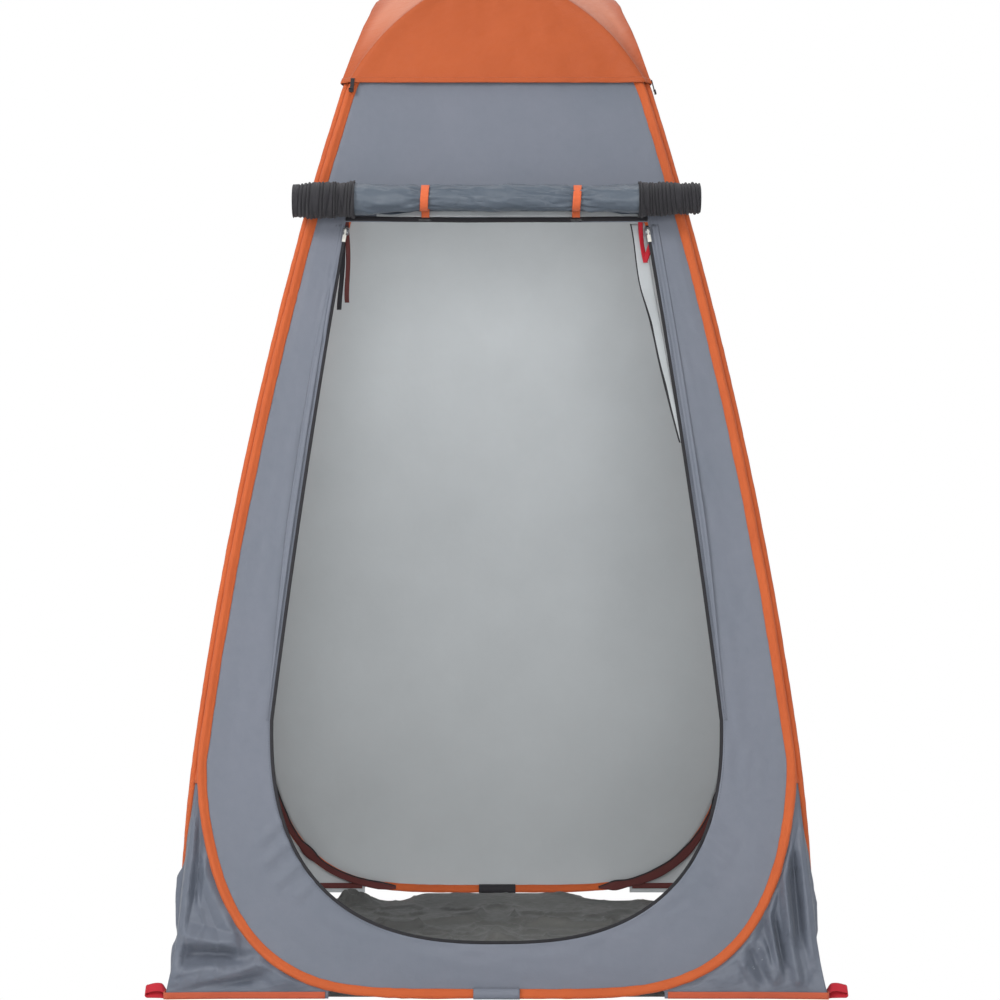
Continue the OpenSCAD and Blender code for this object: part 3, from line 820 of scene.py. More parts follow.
def make_front_wall():
    """The front wall's cloth, in lanes from the doorway's edge out to the hoop."""
    inner = mirrored_loop(door_half())
    outer = mirrored_loop(front_outer_half())
    lanes = 44
    share = np.linspace(0, 1, lanes)[:, None, None]
    flat = inner[None] * (1 - share) + outer[None] * share
    x = flat[..., 0]
    z = flat[..., 1]
    width = np.linalg.norm(outer - inner, axis=1)[None] * share[..., 0]
    rest = np.linalg.norm(outer - inner, axis=1)[None] * (1 - share[..., 0])
    held = edge_share(np.minimum(rest, width + 0.03), 0.05)
    pull = 0.0022 * np.sin(width * 150) * np.exp(-width * 22) * value_noise(x * 22, z * 22, 44)
    pull = pull + fold_relief(-x, z, SILL_FOLDS) + 0.7 * fold_relief(x + 0.006, z, SILL_FOLDS)
    out = wall_relief(x, z, "front") * held + pull
    points = on_wall(x, z, out)
    uv = np.stack([x, z], -1)
    obj = grid_object("front_wall_cloth", points, [GREY_OUT, SILVER_IN], uv, wrap_cols=True, flip=True)
    thicken(obj, CLOTH_T, lined=True)
    finish_piece(obj, "shelter", ["front_wall"])


make_front_wall()


# ---------------------------------------------------------------- bottom corners

# Where the cloth's corner stands at each height, seen square on
CORNER_Z = [0.0, 0.033, 0.069, 0.107, 0.18, 0.254, 0.365, 0.40, 0.45]
CORNER_X = [0.6155, 0.609, 0.6015, 0.595, 0.586, 0.577, 0.563, 0.558, 0.551]
GUSSET_START = 0.312
GUSSET_TOP = 0.425
SEEN_DEPTH = 1.45
UNSEEN_DEPTH = 0.5

# Folds as [x, z] to [x, z], their rise and their half width
LEFT_FOLDS = [
    (0.562, 0.385, 0.580, 0.200, 0.014, 0.013),
    (0.580, 0.200, 0.606, 0.020, 0.016, 0.016),
    (0.545, 0.350, 0.566, 0.165, -0.013, 0.015),
    (0.540, 0.260, 0.478, 0.098, 0.011, 0.030),
    (0.590, 0.120, 0.474, 0.093, 0.017, 0.024),
    (0.586, 0.080, 0.480, 0.084, -0.015, 0.022),
    (0.592, 0.046, 0.500, 0.062, 0.012, 0.018),
    (0.606, 0.012, 0.430, 0.068, 0.013, 0.020),
    (0.600, 0.014, 0.440, 0.034, -0.009, 0.014),
]
RIGHT_FOLDS = [
    (0.556, 0.340, 0.534, 0.225, 0.012, 0.012),
    (0.534, 0.225, 0.547, 0.100, 0.017, 0.012),
    (0.547, 0.100, 0.562, 0.020, 0.011, 0.012),
    (0.556, 0.260, 0.566, 0.100, -0.013, 0.013),
    (0.566, 0.300, 0.592, 0.060, 0.012, 0.014),
    (0.520, 0.220, 0.507, 0.155, 0.011, 0.012),
    (0.507, 0.158, 0.526, 0.036, 0.015, 0.011),
    (0.516, 0.150, 0.534, 0.060, -0.012, 0.010),
    (0.495, 0.104, 0.519, 0.022, 0.013, 0.010),
    (0.470, 0.094, 0.502, 0.030, -0.009, 0.010),
    (0.455, 0.070, 0.487, 0.014, 0.011, 0.010),
]


def gusset_half(seed, folds):
    """One wall's share of a gusset as rows from the ground up, hoop edge to corner."""
    edge = moved_out(HOOP, 0.0068)
    right = edge[: len(edge) // 2]
    right = right[(right[:, 0] > 0.30) & (right[:, 1] < 0.46)]
    rows, cols = 120, 84
    z = np.linspace(0, 1, rows) ** 1.1 * GUSSET_TOP
    start = np.interp(z, right[:, 1], right[:, 0])
    start = np.where(z < right[0, 1], GUSSET_START, start)
    end = np.interp(z, CORNER_Z, CORNER_X)
    start = np.minimum(start, end - 0.004)
    share = np.linspace(0, 1, cols)
    x = start[:, None] + (end - start)[:, None] * share[None]
    zz = np.repeat(z[:, None], cols, 1)
    width = (end - start)[:, None]
    # Folds fan down from where the hoop leaves the corner
    apex = np.array([0.566, 0.46])
    angle = np.arctan2(apex[0] - x, apex[1] - zz)
    reach = np.hypot(apex[0] - x, apex[1] - zz)
    fan = np.sin(angle * 21 + 2.2 * value_noise(angle * 5 + seed, reach * 5, 51 + seed))
    cross = layered_noise(x * 13 + seed, zz * 11 + x * 5, 61 + seed)
    small = creases(x * 30 + seed, zz * 22, 66 + seed) - 0.5
    held = edge_share(share[None] * width, 0.02) * (0.25 + 0.75 * edge_share((1 - share[None]) * width, 0.02))
    lift = smooth_step(0.013, 0.040, zz) * (1 - smooth_step(0.34, 0.42, zz))
    own = 0.35 if folds else 1.0
    depth = own * 0.008 * fan * smooth_step(0.03, 0.22, reach)
    depth = depth + own * 0.010 * cross + 0.0016 * small
    depth = depth + fold_relief(x, zz, folds or shuffled_folds(seed))
    return x, zz, depth * lift * held * (SEEN_DEPTH if folds else UNSEEN_DEPTH)


def shuffled_folds(seed):
    """The right-hand set of folds, moved about for another corner."""
    move = np.random.default_rng(seed).uniform(-0.012, 0.012, (len(RIGHT_FOLDS), 4))
    return [tuple(np.array(f[:4]) + m) + f[4:] for f, m in zip(RIGHT_FOLDS, move)]


def corner_points(x, z, out):
    """Points right of the front hoop, drawn out to the corner that stands off the wall."""
    lean = np.interp(z, CORNER_Z, CORNER_X) - wall_s(z)
    share = np.clip((np.abs(x) - GUSSET_START) / (CORNER_X[0] - GUSSET_START), 0, 1)
    points = on_wall(x, z, out)
    points[..., 1] -= lean * share ** 4
    return points


def make_gusset(side, node, seed, first_folds, second_folds):
    """The gusset at the corner right of a side, round onto the next side."""
    xa, za, outa = gusset_half(seed, first_folds)
    xb, zb, outb = gusset_half(seed + 5, second_folds)
    first = corner_points(xa, za, outa)
    second = turned(corner_points(-xb, zb, outb), "right")
    meet = (first[:, -1] + second[:, -1]) / 2
    first[:, -1] = meet
    both = np.concatenate([first, second[:, ::-1][:, 1:]], axis=1)
    both[..., 2] = np.maximum(both[..., 2], 0.0004)
    obj = grid_object(node + "_cloth", turned(both, side), [GREY_GUSSET, SILVER_IN])
    thicken(obj, CLOTH_T, lined=True)
    finish_piece(obj, "shelter", [node])


GUSSETS = {
    "front": "gusset_front_right",
    "right": "gusset_back_right",
    "back": "gusset_back_left",
    "left": "gusset_front_left",
}
make_gusset("front", GUSSETS["front"], 3, RIGHT_FOLDS, None)
make_gusset("right", GUSSETS["right"], 5, None, None)
make_gusset("back", GUSSETS["back"], 7, None, None)
make_gusset("left", GUSSETS["left"], 9, None, LEFT_FOLDS)


def make_hem(side, node, inner=False):
    """Hem tape along the ground, round the corner right of a side; an inner one shows inside."""
    x = np.linspace(0.318, CORNER_X[0] - 0.0005, 70)
    z = np.full_like(x, 0.017 if inner else 0.0066)
    wave = 0.0008 * value_noise(x * 26, 0.0, 81)
    out = -0.0024 if inner else 0.0022
    front = corner_points(x, z, out + wave)
    back = turned(front * np.array([-1.0, 1.0, 1.0]), "right")
    if inner:
        front, back = front[:-2], back[:-2]
    line = np.concatenate([front, back[::-1][1:]])
    up = np.tile([0.0, 0.0, 1.0], (len(line), 1))
    name = node + ("_inner_tape" if inner else "_tape")
    material, slot = (DARK_RED, "red_webbing") if inner else (HEM_TAPE, "orange_tape")
    obj = strip(name, turned(line, side), up, HEM_HALF, material, TAPE_T, lanes=4)
    finish_piece(obj, "shelter", [] if inner else [node])


for name in SIDES:
    make_hem(name, GUSSETS[name].replace("gusset", "hem"))
make_hem("right", "hem_back_right", inner=True)
make_hem("back", "hem_back_left", inner=True)


def make_peg_loop(x_side, y_side, node):
    """Red webbing folded back on itself, its two ends sewn at the corner."""
    low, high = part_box(node)
    y = y_side * (abs(low[1] + high[1]) / 2)
    near = 0.613
    far = max(abs(low[0]), abs(high[0]))
    r = 0.0046
    bend = far - r
    turn = np.radians(np.linspace(-90, 90, 17))
    top = [(near + (bend - near) * t, 0.0098 + 0.0035 * math.sin(math.pi * t)) for t in np.linspace(0, 1, 14)]
    tip = [(bend + r * math.cos(a), 0.0055 + r * math.sin(a)) for a in turn[::-1]]
    under = [(bend + (near - bend) * t, 0.0009) for t in np.linspace(0, 1, 14)]
    path = np.array(top + tip[1:-1] + under)
    line = np.stack([x_side * path[:, 0], np.full(len(path), y), path[:, 1]], 1)
    line[:, 1] += 0.0012 * np.sin(path[:, 0] * 90)
    tilt = 0.75 * smooth_step(near, near + 0.012, path[:, 0])
    line[:, 2] += 0.0088 * np.sin(tilt)
    across = np.stack([0 * tilt, np.cos(tilt), -y_side * np.sin(tilt)], 1)
    obj = strip(node + "_webbing", line, across, LOOP_HALF, RED_WEBBING, 0.0014, lanes=7)
    finish_piece(obj, "shelter", [node])


for x_name, x_side in (("left", -1), ("right", 1)):
    for y_name, y_side in (("front", -1), ("back", 1)):
        make_peg_loop(x_side, y_side, "peg_loop_" + y_name + "_" + x_name)


# ---------------------------------------------------------------- floor and joint covers

def make_floor():
    """A loose sheet with packing creases, pulled up a little at its back edge."""
    low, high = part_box("floor_sheet")
    cols, rows = 200, 190
    x = np.linspace(low[0] + 0.004, high[0] - 0.004, cols)
    y = np.linspace(low[1] + 0.002, high[1], rows)
    xx, yy = np.meshgrid(x, y)
    loose = smooth_step(0.16, 0.23, np.abs(x))
    edge = loose * (0.020 + 0.03 * np.abs(value_noise(x * 3.3, 4.7, 91)))
    back = smooth_step(0.1, 0.5, yy)
    yy = yy - back * edge[None]
    fold_x = np.exp(-np.abs(xx) / 0.010) * 0.004
    fold_y = np.exp(-np.abs(yy - 0.02) / 0.010) * 0.004
    star = creases(xx * 5 + 3, yy * 3.2, 92) ** 4 * 0.015
    small = creases(xx * 14, yy * 9 + 5, 95) ** 3 * 0.008
    rim = np.minimum(np.minimum(xx - low[0], high[0] - xx), yy - low[1])
    height = (fold_x + fold_y + star + small) * edge_share(rim, 0.05)
    height = height * (1 - 0.7 * smooth_step(high[1] - 0.2, high[1] - 0.05, yy))
    heap = 0.018 * np.exp(-((xx + 0.33) / 0.05) ** 2 - ((yy - 0.43) / 0.05) ** 2)
    heap = heap * (1 + creases(xx * 40, yy * 30, 97))
    lift = 0.0125 * smooth_step(high[1] - 0.16, high[1], yy) * (1 - loose)[None]
    points = np.stack([xx, yy, 0.0008 + height + heap * back + lift], -1)
    obj = grid_object("floor_sheet_cloth", points, [FLOOR_CLOTH])
    thicken(obj)
    finish_piece(obj, "shelter", ["floor_sheet"])


make_floor()


def make_joint_cover(side, material):
    """Two facings over the hoop's joint, one outside and one inside."""
    pieces = []
    for facing, sign in (("outer", 1), ("inner", -1)):
        a = np.radians(np.linspace(-62, 84, 12))
        r = SLEEVE_R + 0.0015
        out = r * np.cos(a) * sign
        up = SLEEVE_R + r * np.sin(a)
        up = np.concatenate([[0.0006], up])
        out = np.concatenate([[r * 0.72 * sign], out])
        x = np.linspace(-JOINT_HALF, JOINT_HALF, 24)
        wave = 0.0006 * value_noise(x * 60, 1.0, 101)
        y = -wall_s(SLEEVE_R) - out[:, None] - wave[None] * sign
        points = np.stack(np.broadcast_arrays(x[None], y, up[:, None]), -1)
        pieces.append(grid_object(side + facing, turned(points, side), [material], flip=sign < 0))
    obj = joined(side + "_joint_facings", pieces)
    thicken(obj, TAPE_T)
    finish_piece(obj, "shelter", [side + "_joint_cover"])


make_joint_cover("front", GREY_OUT)
for name in ("right", "back", "left"):
    make_joint_cover(name, BLACK_TAPE)


# ---------------------------------------------------------------- roof and cap

FACE_STEPS = 25


def dome_outline(t, grow, dip):
    """Right-hand quarter outline at arch angle t, front face then corner chord, with its height,
    the share of painted backlight along it, the wall's distance and the face's half width."""
    z = ARCH_START_H + (ARCH_H + grow - ARCH_START_H) * math.sin(t)
    w = float(wall_s(z)) + grow
    a = (float(wall_s(z)) - SEAM_INSET + grow) * math.cos(t)
    face = np.linspace(0, 1, FACE_STEPS)
    chord = np.linspace(0, 1, 33)
    front = np.stack([a * face, np.full(FACE_STEPS, -w)], 1)
    corner = np.stack([a + (w - a) * chord, -w + (w - a) * chord], 1)
    inward = dip * 4 * chord * (1 - chord)
    corner = corner + np.stack([-inward, inward], 1) / math.sqrt(2)
    # Painted light: lighter in the middle of each corner, where light shows through, fading out at its seams
    painted_backlight = smooth_step(0.02, 0.25, np.minimum(chord, 1 - chord))[1:]
    return np.concatenate([front, corner[1:]]), z, np.concatenate([np.zeros(FACE_STEPS), painted_backlight]), w, a


def make_cap():
    """The rain cap: bowed faces between the arches, slack corners and a low crown."""
    start = math.asin((CAP_HEM_H - ARCH_START_H) / (ARCH_H + CAP_OUT - ARCH_START_H))
    angles = np.concatenate([
        start + (np.radians(14) - start) * np.linspace(0, 1, 12)[:-1],
        np.radians(np.linspace(14, 89.2, 52)),
    ])
    rows, painted_backlight_share = [], []
    for t in angles:
        dip = 0.010 * math.sin(min(1.0, (t - start) * 2.2) * math.pi / 2) + 0.0015
        quarter, z, painted_backlight, _, a = dome_outline(t, CAP_OUT, dip)
        # The face between the arches settles back towards the wall
        gap = max(a, 1e-4) - quarter[:FACE_STEPS, 0]
        quarter[:FACE_STEPS, 1] += 0.0045 * smooth_step(0.004, 0.05, gap) * smooth_step(0.0, 0.12, a)
        left_half = quarter[:FACE_STEPS][::-1] * np.array([-1.0, 1.0])
        side = np.concatenate([left_half[:-1], quarter[:-1]])
        side = np.concatenate([side, np.full((len(side), 1), z)], 1)
        rows.append(np.concatenate([turned(side, name) for name in SIDES]))
        painted_backlight = np.concatenate([np.zeros(FACE_STEPS - 1), painted_backlight[:-1]])
        # Painted light where light shows through the corners, stronger higher up
        painted_backlight_share.append(np.tile(painted_backlight, 4) * smooth_step(0.25, 0.9, t))
    last = rows[-1]
    for r in np.linspace(1, 0.02, 26)[1:]:
        ring = last * np.array([r, r, 1.0])
        ring[:, 2] = last[0, 2] + CAP_CROWN * (1 - r ** 1.7)
        rows.append(ring)
        # The painted light fades out over the crown
        painted_backlight_share.append(painted_backlight_share[len(angles) - 1] * smooth_step(0.75, 1.0, r) * 0.8)
    points = np.array(rows)
    painted_backlight_share = np.array(painted_backlight_share)
    angle = np.arctan2(points[..., 1], points[..., 0])
    z = points[..., 2]
    ripple = 0.0014 * layered_noise(angle * 9 + 5, z * 14, 111)
    pull = 0.0016 * np.sin(angle * 36) * np.exp(-(z - CAP_HEM_H) / 0.05) * np.abs(np.sin(angle * 2)) ** 3
    hold = smooth_step(0, 0.04, np.hypot(points[..., 0], points[..., 1]))
    move = (ripple + pull) * hold
    radial = np.stack([np.cos(angle), np.sin(angle), np.zeros_like(angle)], -1)
    points = points + radial * move[..., None]
    materials = [CAP_CLOTH, CAP_LINING]
    obj = grid_object("rain_cap_cloth", points, materials, attributes={"painted_backlight": painted_backlight_share}, wrap_cols=True)
    thicken(obj, CLOTH_T, lined=True)
    finish_piece(obj, "rain_cap_body", ["rain_cap"])
    # A doubled hem, sewn twice
    band = points[:5] + radial[:5] * 0.0011
    band[0, :, 2] -= 0.0006
    hem = grid_object("rain_cap_hem", band, [CAP_CLOTH], wrap_cols=True)
    thicken(hem, 0.0009)
    finish_piece(hem, "rain_cap_body")
    lines = [band[k] + radial[k] * 0.0006 for k in (1, 3)]
    outs = [radial[1], radial[3]]
    name = "rain_cap_stitches"
    sewing(name, lines, outs, STITCH_ORANGE, 0.0048, 0.0032, "rain_cap_body", closed=True)


make_cap()


def make_roof_panel():
    """Net between the arches: four corners and the square over them."""
    rows = []
    for t in np.radians(np.linspace(2, 88, 40)):
        quarter, z, _, w, a = dome_outline(t, 0.0, 0.004)
        corner = quarter[FACE_STEPS - 1:]
        share = np.linspace(0, 1, len(corner))
        length = (w - a) * math.sqrt(2)
        trim = min(0.012 / max(length, 1e-3), 0.3)
        keep = trim + (1 - 2 * trim) * share
        line = np.stack([np.interp(keep, share, corner[:, k]) for k in range(2)], 1)
        rows.append(np.concatenate([line, np.full((len(line), 1), z - 0.002)], 1))
    corner = np.array(rows)
    pieces = [grid_object("roof_corner_" + side, turned(corner, side), [ROOF_NET]) for side in SIDES]
    loop = np.concatenate([turned(corner[-1], side) for side in SIDES])
    rings = []
    for r in np.linspace(1, 0.02, 16):
        ring = loop * np.array([r, r, 1.0])
        ring[:, 2] = corner[-1, 0, 2] + 0.006 * (1 - r * r)
        rings.append(ring)
    pieces.append(grid_object("roof_square", np.array(rings), [ROOF_NET], wrap_cols=True))
    obj = joined("roof_panel_net", pieces)
    thicken(obj, CLOTH_T)
    finish_piece(obj, "shelter", ["roof_panel"])


make_roof_panel()


def make_hooks():
    """Black elastic hooks that hold the hem's corners to the sleeves."""
    pieces = []
    x = -(float(wall_s(CAP_HEM_H)) - SEAM_INSET)
    for side in SIDES:
        z = np.linspace(CAP_HEM_H + 0.004, CAP_HEM_H - 0.024, 14)
        t = np.linspace(0, 1, 14)
        line = turned(on_wall(x - 0.001 - 0.002 * t, z, 0.0125 - 0.0008 * t), side)
        across = turned(np.tile([1.0, 0.0, 0.0], (14, 1)), side)
        pieces.append(strip("hook_band_" + side, line, across, 0.0038, BLACK_TAPE, 0.0016))
        turn = np.radians(np.linspace(20, 300, 16))
        centre_z = CAP_HEM_H - 0.020
        ring_x = x - 0.004 + 0.0042 * np.cos(turn)
        ring_z = centre_z + 0.0042 * np.sin(turn)
        hook = turned(on_wall(ring_x, ring_z, np.full(16, 0.0122)), side)
        across = turned(np.tile(wall_normal(centre_z), (16, 1)), side)
        pieces.append(strip("hook_clip_" + side, hook, across, 0.002, BLACK_PLASTIC, 0.0016))
    obj = joined("cap_hook_set", pieces)
    finish_piece(obj, "rain_cap_body", ["cap_hooks"])


make_hooks()


# ---------------------------------------------------------------- doorway furniture

def make_zip():
    """Woven tape and a coil of teeth round the doorway's edge."""
    half = np.concatenate([evenly(sill_half(), 120), evenly(jamb_half(60, HEAD_H - 0.007), 120)[1:]])
    left = half[::-1][:-1] * np.array([-1.0, 1.0])
    line = np.concatenate([left, half])
    tape_line = moved_out(line, -0.0028, closed=False)
    tape = on_wall(tape_line[:, 0], tape_line[:, 1], 0.0)
    out = wall_normal(tape_line[:, 1])
    across = np.cross(tangents(tape), out)
    obj = strip("doorway_zip_tape", tape, across, 0.0031, BLACK_TAPE, TAPE_T, lanes=4)
    finish_piece(obj, "shelter", ["doorway_zip"])
    coil_line = moved_out(line, -0.0046, closed=False)
    coil = on_wall(coil_line[:, 0], coil_line[:, 1], 0.0)
    out = wall_normal(coil_line[:, 1])
    teeth = row_of_shapes("doorway_zip_teeth", [coil], [out], BLACK_COIL, 0.0021, 0.0013, 0.0034, 0.0026)
    finish_piece(teeth, "shelter")
    seam = moved_out(line, 0.0035, closed=False)
    thread = on_wall(seam[:, 0], seam[:, 1], 0.0009)
    out = wall_normal(seam[:, 1])
    sewing("doorway_stitches", [thread], [out], STITCH_GREY, 0.005, 0.0033, "shelter")


make_zip()


def make_head_tape():
    """Black tape along the doorway's head, a little wavy."""
    x = np.linspace(-DOOR_TOP_S, DOOR_TOP_S, 90)
    z = HEAD_H + 0.0045 - 0.0016 * np.cos(x * 9) + 0.0006 * value_noise(x * 16, 2.0, 121)
    line = on_wall(x, z, 0.0022)
    lean = np.arcsin((HEAD_H - CENTRE_Z) / WALL_R)
    up = np.tile([0.0, math.sin(lean), math.cos(lean)], (len(x), 1))
    obj = strip("doorway_head_tape", line, up, 0.0046, BLACK_TAPE, 0.0014, lanes=4)
    finish_piece(obj, "shelter", ["head_tape"])


make_head_tape()


def make_jamb_facing(x_side, node):
    """A folded strip of wall cloth beside the jamb, fading out towards the sill."""
    z = np.linspace(DOOR_WIDE_H, HEAD_H - 0.006, 140)
    low = smooth_step(0.0, 0.40, z - DOOR_WIDE_H)
    near = jamb_x(z) + 0.0058
    far = near + 0.0135 * (0.12 + 0.88 * low)
    share = np.linspace(0, 1, 9)
    x = near[:, None] + (far - near)[:, None] * share[None]
    zz = np.repeat(z[:, None], 9, 1)
    fold = np.array([0.0012, 0.0026, 0.0030, 0.0026, 0.0020, 0.0018, 0.0022, 0.0026, 0.0012])
    low = low[:, None]
    out = fold[None] * (0.2 + 0.8 * low) * (0.8 + 0.2 * value_noise(zz * 9, x_side * 3.0, 131)) + 0.0004
    points = on_wall(x_side * x, zz, out)
    obj = grid_object(node + "_cloth", points, [GREY_OUT], np.stack([x, zz], -1), flip=x_side < 0)
    thicken(obj)
    finish_piece(obj, "shelter", [node])


make_jamb_facing(-1, "jamb_facing_left")
make_jamb_facing(1, "jamb_facing_right")


# ---------------------------------------------------------------- door roll

ROLL_Y = -CENTRE_S - math.sqrt((WALL_R + ROLL_OUT) ** 2 - (ROLL_H - CENTRE_Z) ** 2)


def roll_axis(x):
    """The roll stands a little higher between its ties and droops at its left end."""
    x = np.asarray(x, float)
    drop = -0.0030 * smooth_step(0.2, 0.42, np.abs(x)) * np.where(x < 0, 1.0, -0.8)
    rise = 0.0030 * smooth_step(0.26, 0.12, np.abs(x - 0.01))
    wave = 0.0010 * value_noise(x * 7, 0.5, 141)
    return np.stack([x, np.full_like(x, ROLL_Y), ROLL_H + drop + rise + wave], -1)


def lay_flat(obj):
    """The piece gets its own copy of its mesh."""
    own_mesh(obj)


def make_roll():
    """Ten and a half turns of door cloth, the outer ones creased and nipped by the ties."""
    turns, per_turn = 10.5, 60
    steps = int(turns * per_turn)
    a = np.linspace(0, turns * 2 * math.pi, steps)
    inner = 0.006
    r = inner + (ROLL_R - 0.0012 - inner) * (a / a[-1])
    x = np.linspace(-ROLL_HALF, ROLL_HALF, 180)
    xx, aa = np.meshgrid(x, a)
    rr = np.repeat(r[:, None], len(x), 1)
    depth = smooth_step(0.55, 1.0, rr / ROLL_R)
    crumple = 0.0030 * layered_noise(xx * 12 + aa * 0.35, aa * 1.1, 143, 3)
    crumple = crumple + 0.0022 * (creases(xx * 16 + aa * 0.8, aa * 1.5, 146) ** 2 - 0.3)
    nip = np.zeros_like(xx)
    star = np.zeros_like(xx)
    for tie_x in TIE_X:
        d = xx - tie_x
        nip = nip - 0.0055 * np.exp(-(d / 0.015) ** 2)
        fan = np.abs(np.sin(aa * 5.5 + 16 * np.abs(d) * np.sign(np.sin(aa * 2)) + 1.3 * np.sign(d)))
        star = star + 0.0052 * (fan ** 1.5 - 0.5) * np.exp(-((np.abs(d) - 0.018) / 0.020) ** 2)
    slim = -0.0050 * smooth_step(0.27, 0.16, np.abs(xx - 0.01))
    rr = rr + (crumple + nip + star + slim) * depth
    rr = np.minimum(rr, ROLL_R + 0.0022)
    axis = roll_axis(x)[None]
    y = rr * np.sin(aa - a[-1] + 2.6)
    z = rr * np.cos(aa - a[-1] + 2.6) * 0.97
    points = np.stack([xx, axis[..., 1] + y, axis[..., 2] + z], -1)
    along = np.concatenate([[0], np.cumsum(np.hypot(np.diff(r), r[1:] * np.diff(a)))])
    uv = np.stack([xx, np.repeat(along[:, None], len(x), 1)], -1)
    obj = grid_object("rolled_door_cloth", points, [ROLL_CLOTH], uv)
    thicken(obj, ROLL_CLOTH_T)
    finish_piece(obj, "door_roll_body", ["door_roll"])
    lay_flat(obj)


def make_roll_end(x_side, node):
    """Zip tape wound up at the end of the roll: uneven ribs, skewed a little."""
    x = np.linspace(ROLL_HALF - 0.006, ROLL_HALF + ROLL_END_L, 200)
    a = np.linspace(0, 2 * math.pi, 81)[:-1]
    xx, aa = np.meshgrid(x, a, indexing="ij")
    s = (xx - ROLL_HALF) / ROLL_END_L
    skew = 0.14 * np.cos(aa + 0.4) + 0.05 * value_noise(aa * 1.2, s * 3, 151 + x_side)
    pitch = 12 if x_side < 0 else 15
    phase = (s + 0.16 * skew) * pitch + 0.7 * value_noise(s * 9, 0.0, 152 + x_side)
    rib = np.abs(np.sin(phase * math.pi)) ** 0.5
    level = 0.0016 * value_noise(s * 6, aa * 0.7, 154 + x_side)
    level = level + 0.0022 * value_noise(np.floor(phase) * 1.7, 0.3, 156 + x_side)
    r = 0.0310 + 0.0042 * rib + level
    shrink = 1 - (0.05 if x_side < 0 else 0.16) * s
    collar = 0.0014 * (1 - smooth_step(0.0, 0.10, s))
    r = (r + collar) * shrink
    r[-1] = r[-1] * 0.96
    axis = roll_axis(x_side * x)
    y = axis[:, None, 1] + r * np.sin(aa)
    z = axis[:, None, 2] + r * np.cos(aa)
    points = np.stack([x_side * xx, y, z], -1)
    # Rings that close in on the middle make the wound end's face
    face = []
    middle = axis[-1, 1:]
    for k, share in enumerate(np.linspace(1, 0.0, 10)[1:]):
        ring = points[-1].copy()
        ring[:, 1:] = middle + (ring[:, 1:] - middle) * max(share, 0.02)
        ring[:, 0] -= x_side * (0.0012 * (k % 2) + 0.0004 * k)
        face.append(ring)
    close = points[0].copy()
    close[:, 1:] = axis[0, 1:] + (close[:, 1:] - axis[0, 1:]) * 0.86
    points = np.concatenate([close[None], points, np.array(face)])
    obj = grid_object(node + "_tape", points, [BLACK_TAPE], wrap_cols=True, flip=x_side > 0)
    finish_piece(obj, "door_roll_body", [node])
    lay_flat(obj)


make_roll()
make_roll_end(-1, "roll_end_left")
make_roll_end(1, "roll_end_right")


def make_tie(x, node):
    """Webbing round the roll, with its tail down to the head tape."""
    a = np.radians(np.linspace(-160, 178, 60))
    r = ROLL_R - 0.0068
    axis = roll_axis(np.array([x]))[0]
    ring = np.stack([
        np.full(60, x) + 0.0016 * np.sin(a),
        axis[1] - r * np.cos(a) * 0.99,
        axis[2] + r * np.sin(a) * 0.96,
    ], -1)
    tail_z = np.linspace(HEAD_H + 0.008, HEAD_H + 0.03, 10)
    tail = on_wall(np.full(10, x), tail_z, np.linspace(0.003, 0.02, 10))
    line = np.concatenate([tail[:-2], ring])
    across = np.tile([1.0, 0.0, 0.0], (len(line), 1))
    obj = strip(node + "_webbing", line, across, TIE_HALF, ORANGE_WEBBING, 0.0013, lanes=7)
    finish_piece(obj, "shelter", [node])
    lay_flat(obj)


make_tie(TIE_X[0], "tie_left")
make_tie(TIE_X[1], "tie_right")


def make_toggle(node):
    """A small moulded toggle lying across the tie's end."""
    low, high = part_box(node)
    middle = [(low[k] + high[k]) / 2 for k in range(3)]
    t = np.linspace(-1, 1, 25)
    a = np.linspace(0, 2 * math.pi, 17)[:-1]
    half = 0.013
    round_end = np.sqrt(np.maximum(1 - np.abs(t) ** 6, 0.0))
    r = 0.0034 * round_end * (1 - 0.28 * np.exp(-(t / 0.25) ** 2)) + 0.0001
    tt, aa = np.meshgrid(t, a, indexing="ij")
    rr = np.repeat(r[:, None], len(a), 1)
    top = high[2] - 0.0036
    points = np.stack([middle[0] + half * tt, middle[1] + rr * np.cos(aa), top + rr * np.sin(aa)], -1)
    obj = grid_object(node + "_moulding", points, [BLACK_PLASTIC], wrap_cols=True)
    finish_piece(obj, "door_roll_body", [node])
    lay_flat(obj)


make_toggle("toggle_left")
make_toggle("toggle_right")


def make_door_tail():
    """The door between the doorway's head and the roll; its width and standoff follow where each row would
    hang once unrolled.
    """
    rows, cols = 90, 60
    t = np.linspace(0, 1, rows)
    z = 1.489 + 0.034 * t
    share = t * t * (3 - 2 * t)
    angle = math.radians(9.2) * share
    final = CENTRE_Z + WALL_R * np.sin(np.arcsin((z - CENTRE_Z) / WALL_R) - angle)
    sill = sill_half()
    wide = np.where(final > DOOR_WIDE_H, jamb_x(final), np.interp(final, sill[:, 1], sill[:, 0]))
    wide = np.minimum(wide + 0.006, 0.385)
    x = wide[:, None] * np.linspace(-1, 1, cols)[None]
    zz = np.repeat(z[:, None], cols, 1)
    # It stands clear of the parked sliders and lies closer below them
    out = 0.0085 + 0.0095 * smooth_step(1.34, 1.41, final) - 0.0135 * smooth_step(1.466, 1.489, final)
    points = on_wall(x, zz, out[:, None])
    obj = grid_object("door_hanging_cloth", points, [ROLL_CLOTH])
    thicken(obj, ROLL_CLOTH_T)
    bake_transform(obj)


make_door_tail()


